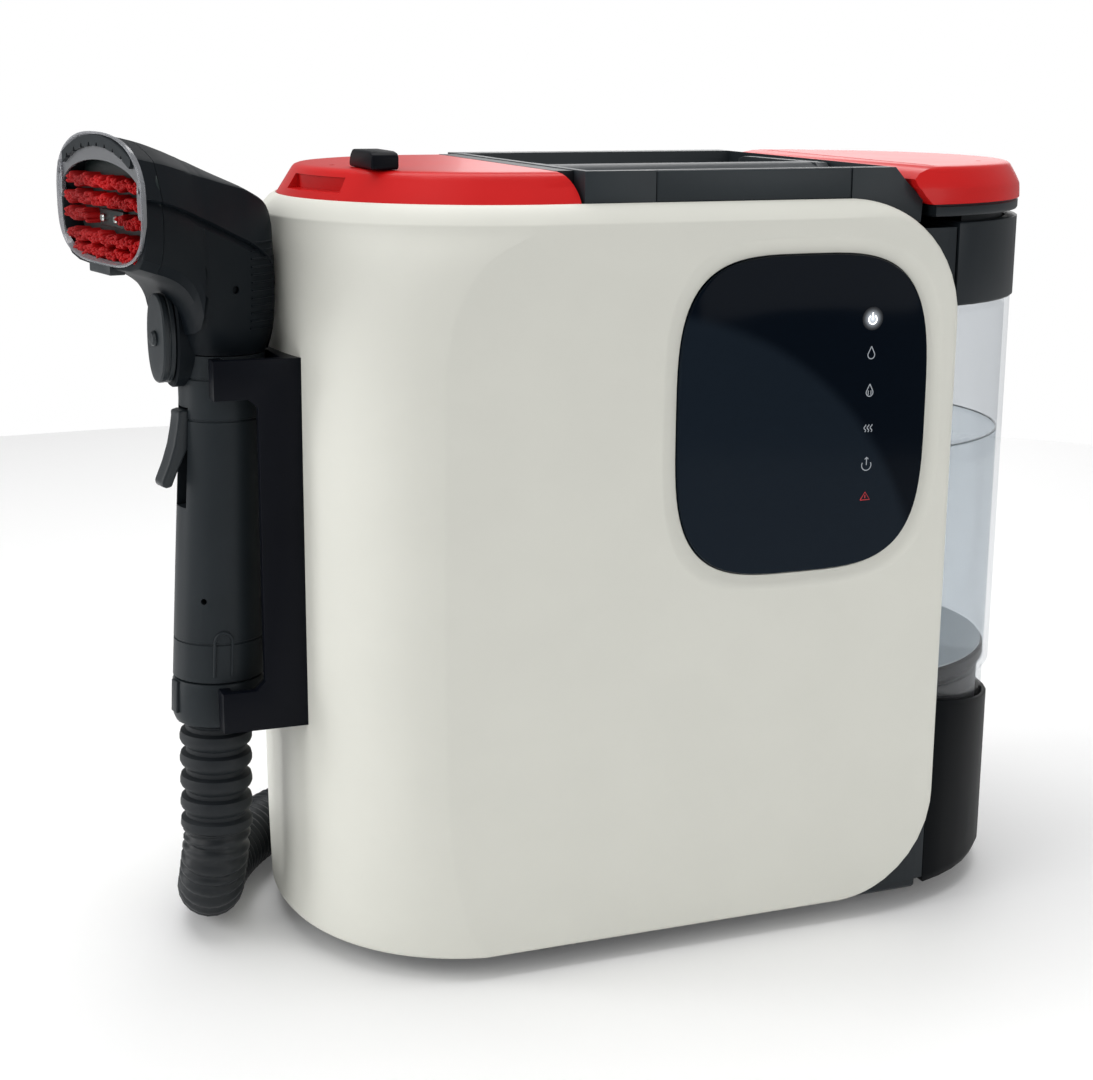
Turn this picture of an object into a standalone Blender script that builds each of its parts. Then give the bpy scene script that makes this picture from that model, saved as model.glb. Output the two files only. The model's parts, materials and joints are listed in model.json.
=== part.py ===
"""Carpet cleaner: stadium-shaped base unit with two lift-out tanks, a hand tool in its side
cradle, and the hose between them stored on the back.  Metres, +Z up.  The origin is on the
floor, under the middle of everything but the hose; +X is its right end, -Y its front."""
import math

import bmesh
import bpy
from mathutils import Matrix, Vector

for leftover in list(bpy.data.objects):
    bpy.data.objects.remove(leftover, do_unlink=True)

# ---------------------------------------------------------------- driving dimensions
BODY_DEPTH = 0.194           # front face to back face of the base unit
BODY_R = BODY_DEPTH / 2      # radius of its round left end
LEFT_X = -0.0875             # centre of the left end's arc
RIGHT_X = 0.0905             # centre of the right end's arc
CORE_R = 0.0935              # black core and tank seat, just inside the white shells
SHELL_BOTTOM = 0.010         # the shells end this far above the floor
SHELL_TOP = 0.340            # upper edge of the white shells
DECK_TOP = 0.3533            # top of the deck and of both lids
SHELL_WALL = 0.003
GAP = 0.0003                 # clearance between parts that touch
SHELL_EDGE_X = 0.111         # straight right edge of the white shells
TOP_CORNER_R = 0.055         # rounded corners of that edge
BOTTOM_CORNER_R = 0.050
SEAM_Y = 0.045               # front and rear shells meet here on the round left end
BAY_X = 0.1105               # wall between the machine and the clean tank
DISPLAY_X, DISPLAY_Z = 0.0338, 0.2457
DISPLAY_HALF_W, DISPLAY_HALF_H = 0.0617, 0.0710
COLLAR_BOTTOM, COLLAR_TOP = 0.2910, 0.3285
LID_LINE = 0.3369            # red lid meets its black band here
DECK_HALF_Y = 0.0887
DECK_BOTTOM = 0.3290
DECK_LEFT_X = -0.0697
HANDLE_AXIS = (0.0, 0.045, 0.3455)
HANDLE_BAR_Y = -0.020
TOOL_AXIS_TOP = Vector((-0.2078, -0.0105, 0.2580))
TOOL_AXIS_LOW = Vector((-0.2152, -0.0105, 0.0900))
TOOL_TURN = math.radians(11)  # the tool is turned this far towards the front in its cradle
NOZZLE_HALF_W = 0.050
GRIP_R = 0.0188
TRIGGER_PIVOT_U, TRIGGER_PIVOT_Z = 0.0155, 0.2480
KNOB_U, KNOB_Z = 0.0215, 0.2815
HOSE_R = 0.0155
HOSE_Y = 0.1172              # centre line of the hose behind the body
LOOP_Z = 0.1420              # centre height of the stored hose loop
LOOP_R = 0.1250
MOTOR_X, MOTOR_Y = -0.012, 0.024
VALVE_X = 0.140              # clean tank outlet
FLOAT_X, FLOAT_Y = -0.118, -0.030
ARC_STEPS = 18


# ---------------------------------------------------------------- materials
def plastic(name, colour, roughness=0.45, metallic=0.0, transmission=0.0):
    material = bpy.data.materials.new(name)
    material.use_nodes = True
    shader = material.node_tree.nodes["Principled BSDF"]
    shader.inputs["Base Color"].default_value = (*colour, 1)
    shader.inputs["Roughness"].default_value = roughness
    shader.inputs["Metallic"].default_value = metallic
    shader.inputs["Transmission Weight"].default_value = transmission
    return material


WHITE = plastic("shell_white", (0.64, 0.63, 0.58), 0.42)
BLACK = plastic("black_plastic", (0.030, 0.034, 0.038), 0.42)
SOOT = plastic("tool_plastic", (0.035, 0.039, 0.043), 0.5)
RED = plastic("red_plastic", (0.62, 0.012, 0.014), 0.32)
GLASS = plastic("display_glass", (0.004, 0.006, 0.010), 0.05)
CLEAR = plastic("tank_clear", (0.86, 0.90, 0.93), 0.06, 0.0, 0.9)
SMOKE = plastic("tank_smoke", (0.10, 0.11, 0.12), 0.12, 0.0, 0.6)
STEEL = plastic("stainless", (0.55, 0.55, 0.56), 0.28, 1.0)
BRASS = plastic("brass", (0.60, 0.42, 0.18), 0.3, 1.0)
BOARD = plastic("board", (0.02, 0.12, 0.06), 0.5)
RUBBER = plastic("rubber", (0.02, 0.02, 0.02), 0.8)
WINDOW = plastic("nozzle_clear", (0.5, 0.52, 0.54), 0.1, 0.0, 0.8)
GREY = plastic("grey_plastic", (0.25, 0.26, 0.27), 0.5)


# ---------------------------------------------------------------- mesh building
def solid(name, points, faces, material, angle=32):
    mesh = bpy.data.meshes.new(name)
    work = bmesh.new()
    corners = [work.verts.new(point) for point in points]
    for face in faces:
        work.faces.new([corners[i] for i in face])
    bmesh.ops.recalc_face_normals(work, faces=work.faces)
    work.to_mesh(mesh)
    work.free()
    mesh.materials.append(material)
    mesh.shade_smooth()
    mesh.set_sharp_from_angle(angle=math.radians(angle))
    item = bpy.data.objects.new(name, mesh)
    bpy.context.scene.collection.objects.link(item)
    return item


def loft(name, loops, material, closed=True, angle=32):
    """Closed loops joined one after another, with the first and last capped."""
    count = len(loops[0])
    points = [point for loop in loops for point in loop]
    faces = []
    for level in range(len(loops) - 1):
        low, high = level * count, (level + 1) * count
        for i in range(count):
            j = (i + 1) % count
            faces.append((low + i, low + j, high + j, high + i))
    if closed:
        faces.append(tuple(range(count)))
        faces.append(tuple(range(len(points) - count, len(points))))
    return solid(name, points, faces, material, angle)


def wall(name, plan, profile, material, ring=False):
    """A profile of (inset, z) swept along the plan's outline, open-ended or as a ring."""
    lines = [[(x, y, z) for x, y in plan(inset)] for inset, z in profile]
    along, around = len(lines[0]), len(lines)
    points = [point for line in lines for point in line]
    faces = []
    for a in range(around):
        b = (a + 1) % around
        for i in range(along if ring else along - 1):
            j = (i + 1) % along
            faces.append((a * along + i, a * along + j, b * along + j, b * along + i))
    if not ring:
        faces.append(tuple(a * along for a in range(around)))
        faces.append(tuple(a * along + along - 1 for a in range(around)))
    return solid(name, points, faces, material)


def stack(name, plan, levels, material, angle=32):
    """Levels of (inset, z), bottom to top outside, then down inside for a cup."""
    loops = [[(x, y, level[1]) for x, y in plan(*([level[0]] + list(level[2:])))] for level in levels]
    return loft(name, loops, material, angle=angle)


def arc(cx, cy, radius, start, end, steps):
    for i in range(steps + 1):
        angle = math.radians(start + (end - start) * i / steps)
        yield (cx + radius * math.cos(angle), cy + radius * math.sin(angle))


def circle_plan(cx, cy, radius, steps=24):
    def plan(inset):
        return list(arc(cx, cy, radius - inset, 0, 360 - 360 / steps, steps - 1))
    return plan


def turned(name, cx, cy, levels, material, steps=24):
    """Levels of (radius, z) about a vertical axis."""
    return stack(name, lambda r: circle_plan(cx, cy, r, steps)(0), levels, material)


def turned_along(name, start, direction, levels, material, steps=20):
    """Levels of (radius, distance) about any axis."""
    item = turned(name, 0, 0, levels, material, steps)
    turn = Vector((0, 0, 1)).rotation_difference(Vector(direction).normalized()).to_matrix().to_4x4()
    item.data.transform(Matrix.Translation(Vector(start)) @ turn)
    return item


def block(name, low, high, material, bevel=0.0, segments=2):
    (x0, y0, z0), (x1, y1, z1) = low, high
    corners = [(x0, y0), (x1, y0), (x1, y1), (x0, y1)]
    item = loft(name, [[(x, y, z) for x, y in corners] for z in (z0, z1)], material)
    if bevel:
        round_edges(item, bevel, segments)
    return item


def round_edges(item, width, segments=2, angle=40):
    modifier = item.modifiers.new("edges", "BEVEL")
    modifier.width = width
    modifier.segments = segments
    modifier.limit_method = "ANGLE"
    modifier.angle_limit = math.radians(angle)
    return item


def plate(name, outline, low, high, material, axis="Y"):
    """An outline in XZ extruded along Y, or in YZ extruded along X."""
    if axis == "Y":
        loops = [[(a, depth, b) for a, b in outline] for depth in (low, high)]
    else:
        loops = [[(depth, a, b) for a, b in outline] for depth in (low, high)]
    return loft(name, loops, material)


def cut(item, cutter, operation="DIFFERENCE"):
    modifier = item.modifiers.new("cut", "BOOLEAN")
    modifier.operation = operation
    modifier.object = cutter
    cutter.hide_render = True
    cutter.display_type = "WIRE"
    return item


def pipe(name, points, radius, material, resolution=2):
    curve = bpy.data.curves.new(name, "CURVE")
    curve.dimensions = "3D"
    curve.bevel_depth = radius
    curve.bevel_resolution = resolution
    curve.use_fill_caps = True
    spline = curve.splines.new("POLY")
    spline.points.add(len(points) - 1)
    for target, point in zip(spline.points, points):
        target.co = (*point, 1)
    curve.materials.append(material)
    item = bpy.data.objects.new(name, curve)
    bpy.context.scene.collection.objects.link(item)
    return item


def smooth_route(route, spacing):
    """Evenly spaced points on a Catmull-Rom curve through the route's points."""
    nodes = [Vector(point) for point in route]
    nodes = [2 * nodes[0] - nodes[1]] + nodes + [2 * nodes[-1] - nodes[-2]]
    fine = []
    for a, b, c, d in zip(nodes, nodes[1:], nodes[2:], nodes[3:]):
        for step in range(24):
            t = step / 24
            fine.append(0.5 * (2 * b + (c - a) * t + (2 * a - 5 * b + 4 * c - d) * t * t
                               + (3 * b - a - 3 * c + d) * t ** 3))
    fine.append(nodes[-2])
    total = sum((b - a).length for a, b in zip(fine, fine[1:]))
    count = max(2, round(total / spacing))
    picked, walked, target = [fine[0]], 0.0, total / count
    for a, b in zip(fine, fine[1:]):
        walked += (b - a).length
        while walked >= target * len(picked) - 1e-9 and len(picked) < count:
            picked.append(b)
    picked.append(fine[-1])
    return picked


# ---------------------------------------------------------------- plans of the base unit
def left_d(x_cut):
    """The round left end, cut off by a straight edge at x_cut; all sides move in by inset."""
    def plan(inset, shift=None):
        edge = (x_cut if shift is None else shift) - inset
        radius = BODY_R - inset
        ring = list(arc(LEFT_X, 0, radius, 90, 270, ARC_STEPS))
        return [(edge, radius)] + ring + [(edge, -radius)]
    return plan


def right_d(x_cut, radius):
    """The round right end, cut off at x_cut, which may lie beyond the arc's centre."""
    def plan(inset, shift=None):
        edge = (x_cut if shift is None else shift) + inset
        r = radius - inset
        if edge <= RIGHT_X:
            return [(edge, -r)] + list(arc(RIGHT_X, 0, r, -90, 90, ARC_STEPS)) + [(edge, r)]
        half = math.degrees(math.acos((edge - RIGHT_X) / r))
        return list(arc(RIGHT_X, 0, r, -half, half, ARC_STEPS + 2))
    return plan


def squircle(half_w, half_h, steps=28, power=3.6):
    for i in range(steps):
        angle = 2 * math.pi * i / steps
        c, s = math.cos(angle), math.sin(angle)
        yield (math.copysign(abs(c) ** (2 / power), c) * half_w,
               math.copysign(abs(s) ** (2 / power), s) * half_h)


def display_outline(margin):
    return [(DISPLAY_X + a, DISPLAY_Z + b)
            for a, b in squircle(DISPLAY_HALF_W + margin, DISPLAY_HALF_H + margin)]


# ---------------------------------------------------------------- white shells
SHELL_PROFILE = [(0.0015, SHELL_BOTTOM), (0.0, SHELL_BOTTOM + 0.003), (0.0, 0.3290), (0.0025, 0.3355),
                 (0.0075, SHELL_TOP), (0.0080, SHELL_TOP - 0.0020), (0.0052, 0.3335),
                 (SHELL_WALL, 0.3270), (SHELL_WALL, SHELL_BOTTOM)]


def seam_angle():
    return math.degrees(math.asin(SEAM_Y / BODY_R))


def front_plan(inset):
    turn = list(arc(LEFT_X, 0, BODY_R - inset, 270, 180 - seam_angle(), ARC_STEPS))
    return [(SHELL_EDGE_X, -BODY_R + inset), (0.0, -BODY_R + inset)] + turn


def rear_plan(inset):
    start = 180 - seam_angle() - math.degrees(GAP / BODY_R)
    turn = list(arc(LEFT_X, 0, BODY_R - inset, start, 90, 8))
    return turn + [(0.0, BODY_R - inset), (SHELL_EDGE_X, BODY_R - inset)]


def corner_cutter(name, top, y_low, y_high):
    """What a rounded right-hand corner leaves over, as a solid to take away."""
    if top:
        radius, z_edge, sign = TOP_CORNER_R, SHELL_TOP, 1
    else:
        radius, z_edge, sign = BOTTOM_CORNER_R, SHELL_BOTTOM, -1
    cx, cz = SHELL_EDGE_X - radius, z_edge - sign * radius
    curve = [(cx + radius * math.sin(t), cz + sign * radius * math.cos(t))
             for t in [math.pi / 2 * i / 12 for i in range(13)]]
    outline = [(cx, z_edge + sign * 0.01)] + curve + [(SHELL_EDGE_X + 0.01, cz),
                                                    (SHELL_EDGE_X + 0.01, z_edge + sign * 0.01)]
    return plate(name, outline, y_low, y_high, WHITE)


def front_shell():
    item = wall("front_shell", front_plan, SHELL_PROFILE, WHITE)
    cut(item, corner_cutter("cut_front_top", True, -0.11, -0.06))
    cut(item, corner_cutter("cut_front_low", False, -0.11, -0.06))
    cut(item, plate("cut_display", display_outline(0.0006), -0.11, -0.08, WHITE))


def rear_shell():
    item = wall("rear_shell", rear_plan, SHELL_PROFILE, WHITE)
    cut(item, corner_cutter("cut_rear_top", True, 0.06, 0.11))
    cut(item, corner_cutter("cut_rear_low", False, 0.06, 0.11))
    cut(item, turned_along("cut_port", (PORT_X, 0.08, PORT_Z), (0, 1, 0), [(0.0225, 0), (0.0225, 0.04)],
                           WHITE))
    cut(item, turned_along("cut_gland", (GLAND[0], 0.08, GLAND[1]), (0, 1, 0),
                           [(0.0085, 0), (0.0085, 0.04)], WHITE, 16))
    cut(item, block("cut_vent", (-0.0303, 0.08, 0.1697), (0.0503, 0.11, 0.2143), WHITE))
    for x, z in SCREWS:
        cut(item, turned_along("cut_screw", (x, 0.08, z), (0, 1, 0), [(0.0033, 0), (0.0033, 0.04)], WHITE,
                               12))
    for x in HOOKS:
        cut(item, block("cut_hook", (x - 0.0063, 0.08, HOOK_Z - 0.0063),
                        (x + 0.0063, 0.11, HOOK_Z + 0.0063), WHITE))


PORT_X, PORT_Z = -0.018, 0.0700
SCREWS = [(-0.070, 0.308), (0.075, 0.308)]
HOOKS = [-0.040, 0.050]
HOOK_Z = LOOP_Z + LOOP_R - HOSE_R - 0.0082
GLAND = (0.085, 0.075)       # x and z of the mains cord's entry


# ---------------------------------------------------------------- base, chassis, core
def base_tray():
    def plan(inset):
        ring = list(arc(LEFT_X, 0, BODY_R - 0.0034 - inset, 90, 270, ARC_STEPS))
        return [(0.107, CORE_R - 0.003 - inset)] + ring + [(0.107, -CORE_R + 0.003 + inset)]
    stack("base_tray", plan, [(0.002, 0.0080), (0.0, 0.0100), (0.0, 0.0135)], BLACK)


def chassis():
    outline = [(-0.0735, 0.0138), (0.0560, 0.0138), (0.0560, 0.0168), (-0.0708, 0.0168),
               (-0.0708, 0.3280), (-0.0735, 0.3280)]
    item = plate("chassis", outline, -0.0850, 0.0850, BLACK)
    cut(item, turned_along("cut_duct", (-0.080, 0.055, 0.300), (1, 0, 0), [(0.0155, 0), (0.0155, 0.02)],
                           BLACK))


def core_column():
    def plan(inset):
        r = CORE_R - inset
        edge = BAY_X - inset
        half = math.degrees(math.acos((edge - RIGHT_X) / r))
        front = [(0.0600, -r)] + list(arc(RIGHT_X, 0, r, -90, -half, 4))
        back = list(arc(RIGHT_X, 0, r, half, 90, 4)) + [(0.0600, r)]
        return front + back
    profile = [(0.0, 0.0138), (0.0, 0.3265), (0.0025, 0.3265), (0.0025, 0.0138)]
    item = wall("core_column", plan, profile, BLACK)
    cut(item, plate("cut_core_display", display_outline(0.0052), -0.11, -0.08, BLACK))
    cut(item, turned_along("cut_core_gland", (GLAND[0], 0.08, GLAND[1]), (0, 1, 0),
                           [(0.0085, 0), (0.0085, 0.04)], BLACK, 16))
    screw_x, screw_z = SCREWS[1]
    cut(item, turned_along("cut_core_screw", (screw_x, 0.08, screw_z), (0, 1, 0),
                           [(0.0033, 0), (0.0033, 0.04)], BLACK, 12))
    cut(item, turned_along("cut_core_pipe", (0.100, 0.0, 0.030), (1, 0, 0), [(0.0052, 0), (0.0052, 0.03)],
                           BLACK, 12))


def seat_height(x):
    """The seat's rim dips towards the outer end."""
    return 0.1029 - 0.228 * (x - 0.114)


def tank_seat():
    """Cup under the clean tank, with a sloping rim and a hole for the water coupling."""
    outer, inner = right_d(BAY_X + GAP, CORE_R), right_d(BAY_X + GAP, CORE_R)
    loops = []
    for inset, z in [(0.0026, 0.0470), (0.0026, 0.0120), (0.0060, 0.0082), (0.0022, 0.0095), (0.0, 0.0145)]:
        loops.append([(x, y, z) for x, y in outer(inset)])
    loops.append([(x, y, seat_height(x)) for x, y in outer(0.0)])
    loops.append([(x, y, seat_height(x)) for x, y in inner(0.0022)])
    loops.append([(x, y, 0.0500) for x, y in inner(0.0022)])
    item = loft("tank_seat", loops, BLACK)
    cut(item, turned("cut_seat_hole", VALVE_X, 0, [(0.0092, -0.01), (0.0092, 0.09)], BLACK))
    cut(item, block("cut_seat_pipe", (0.100, -0.0058, 0.0242), (VALVE_X, 0.0058, 0.0358), BLACK))


def feet():
    spots = {"foot_front_left": (-0.105, -0.060), "foot_front_right": (0.080, -0.060),
             "foot_rear_left": (-0.105, 0.060), "foot_rear_right": (0.080, 0.060)}
    for name, (x, y) in spots.items():
        turned(name, x, y, [(0.0095, 0.0), (0.0110, 0.0015), (0.0110, 0.0077)], RUBBER, 20)


# ---------------------------------------------------------------- top deck and carry handle
SEAM_LEFT, SEAM_RIGHT = -0.0372, 0.0574
RECESS = (-0.0655, -0.0815, 0.0790, 0.0760)


def deck_frame():
    outline = [(DECK_LEFT_X, DECK_BOTTOM), (0.0930, DECK_BOTTOM), (0.0936, 0.3390), (0.0848, 0.3470),
               (0.0790, DECK_TOP), (DECK_LEFT_X, DECK_TOP)]
    item = plate("deck_frame", outline, -DECK_HALF_Y, DECK_HALF_Y, BLACK)
    x0, y0, x1, y1 = RECESS
    cut(item, block("cut_recess", (x0, y0, 0.3370), (x1, y1, 0.37), BLACK))
    for side in (-1, 1):
        low, high = sorted((side * (DECK_HALF_Y - 0.0024), side * 0.10))
        cut(item, block("cut_trim", (SEAM_LEFT, low, 0.3392), (SEAM_RIGHT, high, 0.37), BLACK))
    for x0, x1 in ((-0.0692, RECESS[0] + 0.001), (RECESS[2] - 0.001, 0.0830)):
        cut(item, turned_along("cut_pin", (x0, *HANDLE_AXIS[1:]), (1, 0, 0),
                               [(0.0035, 0), (0.0035, x1 - x0)], BLACK, 14))


def deck_trims():
    for name, side in (("deck_trim_front", -1), ("deck_trim_rear", 1)):
        low, high = sorted((side * (DECK_HALF_Y - 0.0021), side * (DECK_HALF_Y + 0.0001)))
        block(name, (SEAM_LEFT + GAP, low, 0.3395), (SEAM_RIGHT - GAP, high, DECK_TOP), BLACK)


def carry_handle():
    """Bail: a flattened grip bar, two arms and two stub pins, lying in the deck's recess."""
    hx, hy, hz = HANDLE_AXIS
    arm = [(hy + 0.0050, hz + 0.0050), (hy + 0.0070, hz), (hy + 0.0050, hz - 0.0050), (hy, hz - 0.0065),
           (HANDLE_BAR_Y - 0.008, 0.3400), (HANDLE_BAR_Y - 0.0145, 0.3435), (HANDLE_BAR_Y - 0.0145, 0.3485),
           (HANDLE_BAR_Y - 0.009, 0.3525), (HANDLE_BAR_Y + 0.009, 0.3525), (hy, hz + 0.0065)]
    bar = [(HANDLE_BAR_Y + 0.0145 * math.cos(t) * 1.0, 0.3463 + 0.0064 * math.sin(t))
           for t in [2 * math.pi * i / 16 for i in range(16)]]
    item = plate("carry_handle", bar, -0.0640, 0.0775, BLACK, axis="X")
    ends = [plate("join_left_arm", arm, -0.0640, -0.0580, BLACK, axis="X"),
            plate("join_right_arm", arm, 0.0715, 0.0775, BLACK, axis="X"),
            turned_along("join_left_pin", (-0.0690, hy, hz), (1, 0, 0), [(0.0030, 0), (0.0030, 0.008)],
                         BLACK, 12),
            turned_along("join_right_pin", (0.0750, hy, hz), (1, 0, 0), [(0.0030, 0), (0.0030, 0.0075)],
                         BLACK, 12)]
    for piece in ends:
        cut(item, piece, "UNION")
    move_origin(item, HANDLE_AXIS)


def move_origin(item, point):
    item.data.transform(Matrix.Translation(-Vector(point)))
    item.location = point


# ---------------------------------------------------------------- clean tank, right end
def clean_tank():
    body = right_d(0.1125, CORE_R)
    levels = [(0.0060, 0.0505), (0.0035, 0.0530), (0.0030, 0.0800), (0.0030, 0.0815), (0.0030, 0.1080),
              (0.0004, 0.1110), (0.0004, COLLAR_BOTTOM - GAP), (0.0052, COLLAR_BOTTOM - GAP),
              (0.0052, 0.3240), (0.0074, 0.3240), (0.0074, 0.2885), (0.0028, 0.2870),
              (0.0028, 0.1120), (0.0054, 0.1090), (0.0054, 0.0560), (0.0080, 0.0535)]
    tank = stack("clean_tank_body", body, levels, CLEAR)
    cut(tank, turned("cut_outlet", VALVE_X, 0, [(0.0060, 0.04), (0.0060, 0.07)], CLEAR, 16))
    wall("tank_collar", right_d(0.1116, CORE_R + 0.0009), [
        (0.0003, COLLAR_BOTTOM), (0.0, COLLAR_BOTTOM + 0.001), (0.0, COLLAR_TOP - 0.0006),
        (0.0006, COLLAR_TOP), (0.0058, COLLAR_TOP), (0.0058, COLLAR_BOTTOM)], BLACK, ring=True)
    turned("valve_plunger", VALVE_X, 0, [(0.0045, 0.0480), (0.0050, 0.0485), (0.0050, 0.0540),
                                         (0.0085, 0.0545), (0.0085, 0.0570), (0.0030, 0.0590)], BRASS, 16)


def clean_tank_lid():
    stack("tank_lid_band", right_d(0.0976, CORE_R + 0.0010), [
        (0.0010, 0.3312), (0.0, 0.3320), (0.0, LID_LINE - GAP)], BLACK)
    stack("clean_tank_lid", right_d(0.0946, CORE_R + 0.0012), [
        (0.0, LID_LINE, 0.0953), (0.0030, 0.3430, 0.0880), (0.0046, 0.3462, 0.0815),
        (0.0058, 0.3492, 0.0830), (0.0072, 0.3524, 0.0930), (0.0090, DECK_TOP, 0.0950)], RED)


# ---------------------------------------------------------------- dirty tank, left end
def dirty_tank():
    body = left_d(-0.0700)
    levels = [(0.0110, 0.0145), (0.0085, 0.0170), (0.0085, 0.3200), (0.0096, 0.3260), (0.0096, 0.3375),
              (0.0118, 0.3375), (0.0118, 0.3250), (0.0109, 0.3190), (0.0109, 0.0195), (0.0134, 0.0170)]
    tank = stack("dirty_tank_body", body, levels, SMOKE)
    cut(tank, turned_along("cut_inlet", (-0.080, 0.055, 0.300), (1, 0, 0), [(0.0105, -0.01), (0.0105, 0.02)],
                           SMOKE, 20))
    item = stack("dirty_tank_lid", left_d(-0.0619), [
        (0.0098, 0.3378), (0.0100, 0.3400), (0.0140, 0.3466), (0.0180, 0.3520),
        (0.0200, DECK_TOP - 0.0005)], RED)
    cut(item, block("cut_grip", (-0.1660, -0.0900, 0.3425), (-0.1380, -0.0600, 0.3490), RED))
    outline = [(-0.0714, 0.3378), (-0.0712, 0.3400), (-0.0755, 0.3468), (-0.0795, 0.3522),
               (-0.0795, DECK_TOP),
               (-0.0701, DECK_TOP), (-0.0701, 0.3378)]
    plate("dirty_lid_frame", outline, -0.0765, 0.0765, BLACK)
    block("lid_latch", (-0.1520, -0.0560, DECK_TOP - 0.0002), (-0.1400, -0.0210, 0.3608), BLACK, 0.0022)


def dirty_tank_inside():
    turned("inlet_tube", -0.1000, 0.0550, [
        (0.0100, 0.0800), (0.0100, 0.2880), (0.0085, 0.2880), (0.0085, 0.0800)], SMOKE, 16)
    wall_ring("float_cage", FLOAT_X, FLOAT_Y, 0.0165, 0.0148, 0.2500, 0.3372, GREY)
    turned("float_ball", FLOAT_X, FLOAT_Y, [
        (0.0060, 0.2560), (0.0115, 0.2585), (0.0138, 0.2640), (0.0138, 0.2760), (0.0115, 0.2815),
        (0.0060, 0.2840)], RED, 16)


def wall_ring(name, cx, cy, outer, inner, low, high, material, steps=20):
    profile = [(0.0, low), (0.0, high), (outer - inner, high), (outer - inner, low)]
    return wall(name, circle_plan(cx, cy, outer, steps), profile, material, ring=True)


# ---------------------------------------------------------------- control panel
def control_panel():
    loops = []
    for margin, y in ((0.0, -0.0936), (0.0, -0.0962), (-0.0012, -0.0970)):
        loops.append([(x, y, z) for x, z in display_outline(margin)])
    loft("display_glass", loops, GLASS)
    loops = [[(x, y, z) for x, z in display_outline(0.0045)] for y in (-0.0936 + GAP, -0.0896)]
    loft("display_bezel", loops, BLACK)
    block("control_pcb", (-0.0180, -0.0893, 0.1900), (0.0860, -0.0877, 0.3020), BOARD)


# ---------------------------------------------------------------- inside the machine
def motor():
    x, y = MOTOR_X, MOTOR_Y
    turned("motor_housing", x, y, [(0.0430, 0.0200), (0.0460, 0.0230), (0.0460, 0.1180), (0.0436, 0.1180),
                                   (0.0436, 0.0250), (0.0400, 0.0230)], GREY)
    turned("motor_core", x, y, [(0.0300, 0.0236), (0.0300, 0.0850), (0.0120, 0.0900), (0.0040, 0.0905),
                                (0.0040, 0.1120)], STEEL)
    fan(x, y)
    turned("motor_filter", x, y, [(0.0460, 0.1183), (0.0460, 0.1350), (0.0430, 0.1370)], GREY)


def fan(x, y):
    """Impeller: a back plate and hub with a bore, and eight blades joined to them."""
    profile = [(0.0, 0.0945), (0.0, 0.0960), (0.0320, 0.0960), (0.0320, 0.1080), (0.0355, 0.1080),
               (0.0355, 0.0945)]
    item = wall("motor_fan", circle_plan(x, y, 0.0400, 24), profile, GREY, ring=True)
    for i in range(8):
        blade = block("join_blade", (0.0070, -0.0006, 0.0950), (0.0390, 0.0006, 0.1060), GREY)
        blade.data.transform(Matrix.Translation((x, y, 0)) @ Matrix.Rotation(i * math.pi / 4, 4, "Z"))
        cut(item, blade, "UNION")


def water_system():
    pump = block("water_pump", (0.0120, -0.0700, 0.0172), (0.0520, -0.0300, 0.0560), GREY)
    coil = turned("join_coil", 0.0320, -0.0500, [(0.0160, 0.0500), (0.0160, 0.0860), (0.0080, 0.0880),
                                                  (0.0060, 0.1000)], GREY)
    cut(pump, coil, "UNION")
    turned_along("boiler", (-0.0560, -0.0530, 0.1750), (1, 0, 0), [
        (0.0100, 0), (0.0230, 0.003), (0.0280, 0.010), (0.0280, 0.088), (0.0230, 0.095), (0.0100, 0.098)],
        STEEL)
    block("boiler_bracket", (-0.0704, -0.0780, 0.1380), (0.0400, -0.0300, 0.1450), STEEL)
    block("solenoid_valve", (-0.0580, -0.0700, 0.0900), (-0.0320, -0.0400, 0.1250), BRASS, 0.002)
    pipe("water_pipe", smooth_route([(0.0523, -0.0450, 0.0300), (0.0680, -0.0430, 0.0300),
                                     (0.0850, -0.0200, 0.0300), (0.1000, -0.0020, 0.0300),
                                     (0.1250, 0.0, 0.0300), (0.1300, 0.0, 0.0300)], 0.008), 0.0040, CLEAR)
    pipe("steam_pipe", smooth_route([(-0.0450, -0.0397, 0.1100), (-0.0450, -0.0300, 0.1100),
                                     (-0.0600, 0.0000, 0.0900), (-0.0620, 0.0500, 0.0750),
                                     (-0.0450, 0.0700, 0.0700), (-0.0433, 0.0720, 0.0700)], 0.010), 0.0030,
                                     BRASS)
    turned("valve_seat", VALVE_X, 0, [(0.0089, 0.0368), (0.0089, 0.0440), (0.0040, 0.0450),
                                      (0.0030, 0.0475)],
           BRASS, 16)


def suction_duct():
    route = [(PORT_X, 0.0820, PORT_Z + 0.0224), (PORT_X, 0.0820, 0.110), (PORT_X, 0.0820, 0.150),
             (-0.020, 0.0790, 0.190), (-0.030, 0.0700, 0.245), (-0.040, 0.0610, 0.280),
             (-0.055, 0.0555, 0.2985), (-0.0704, 0.0550, 0.3000)]
    pipe("suction_duct", smooth_route(route, 0.012), 0.0112, GREY, 3)


def power_board():
    block("power_pcb", (0.0480, -0.0200, 0.1500), (0.0496, 0.0700, 0.3000), BOARD)


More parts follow.
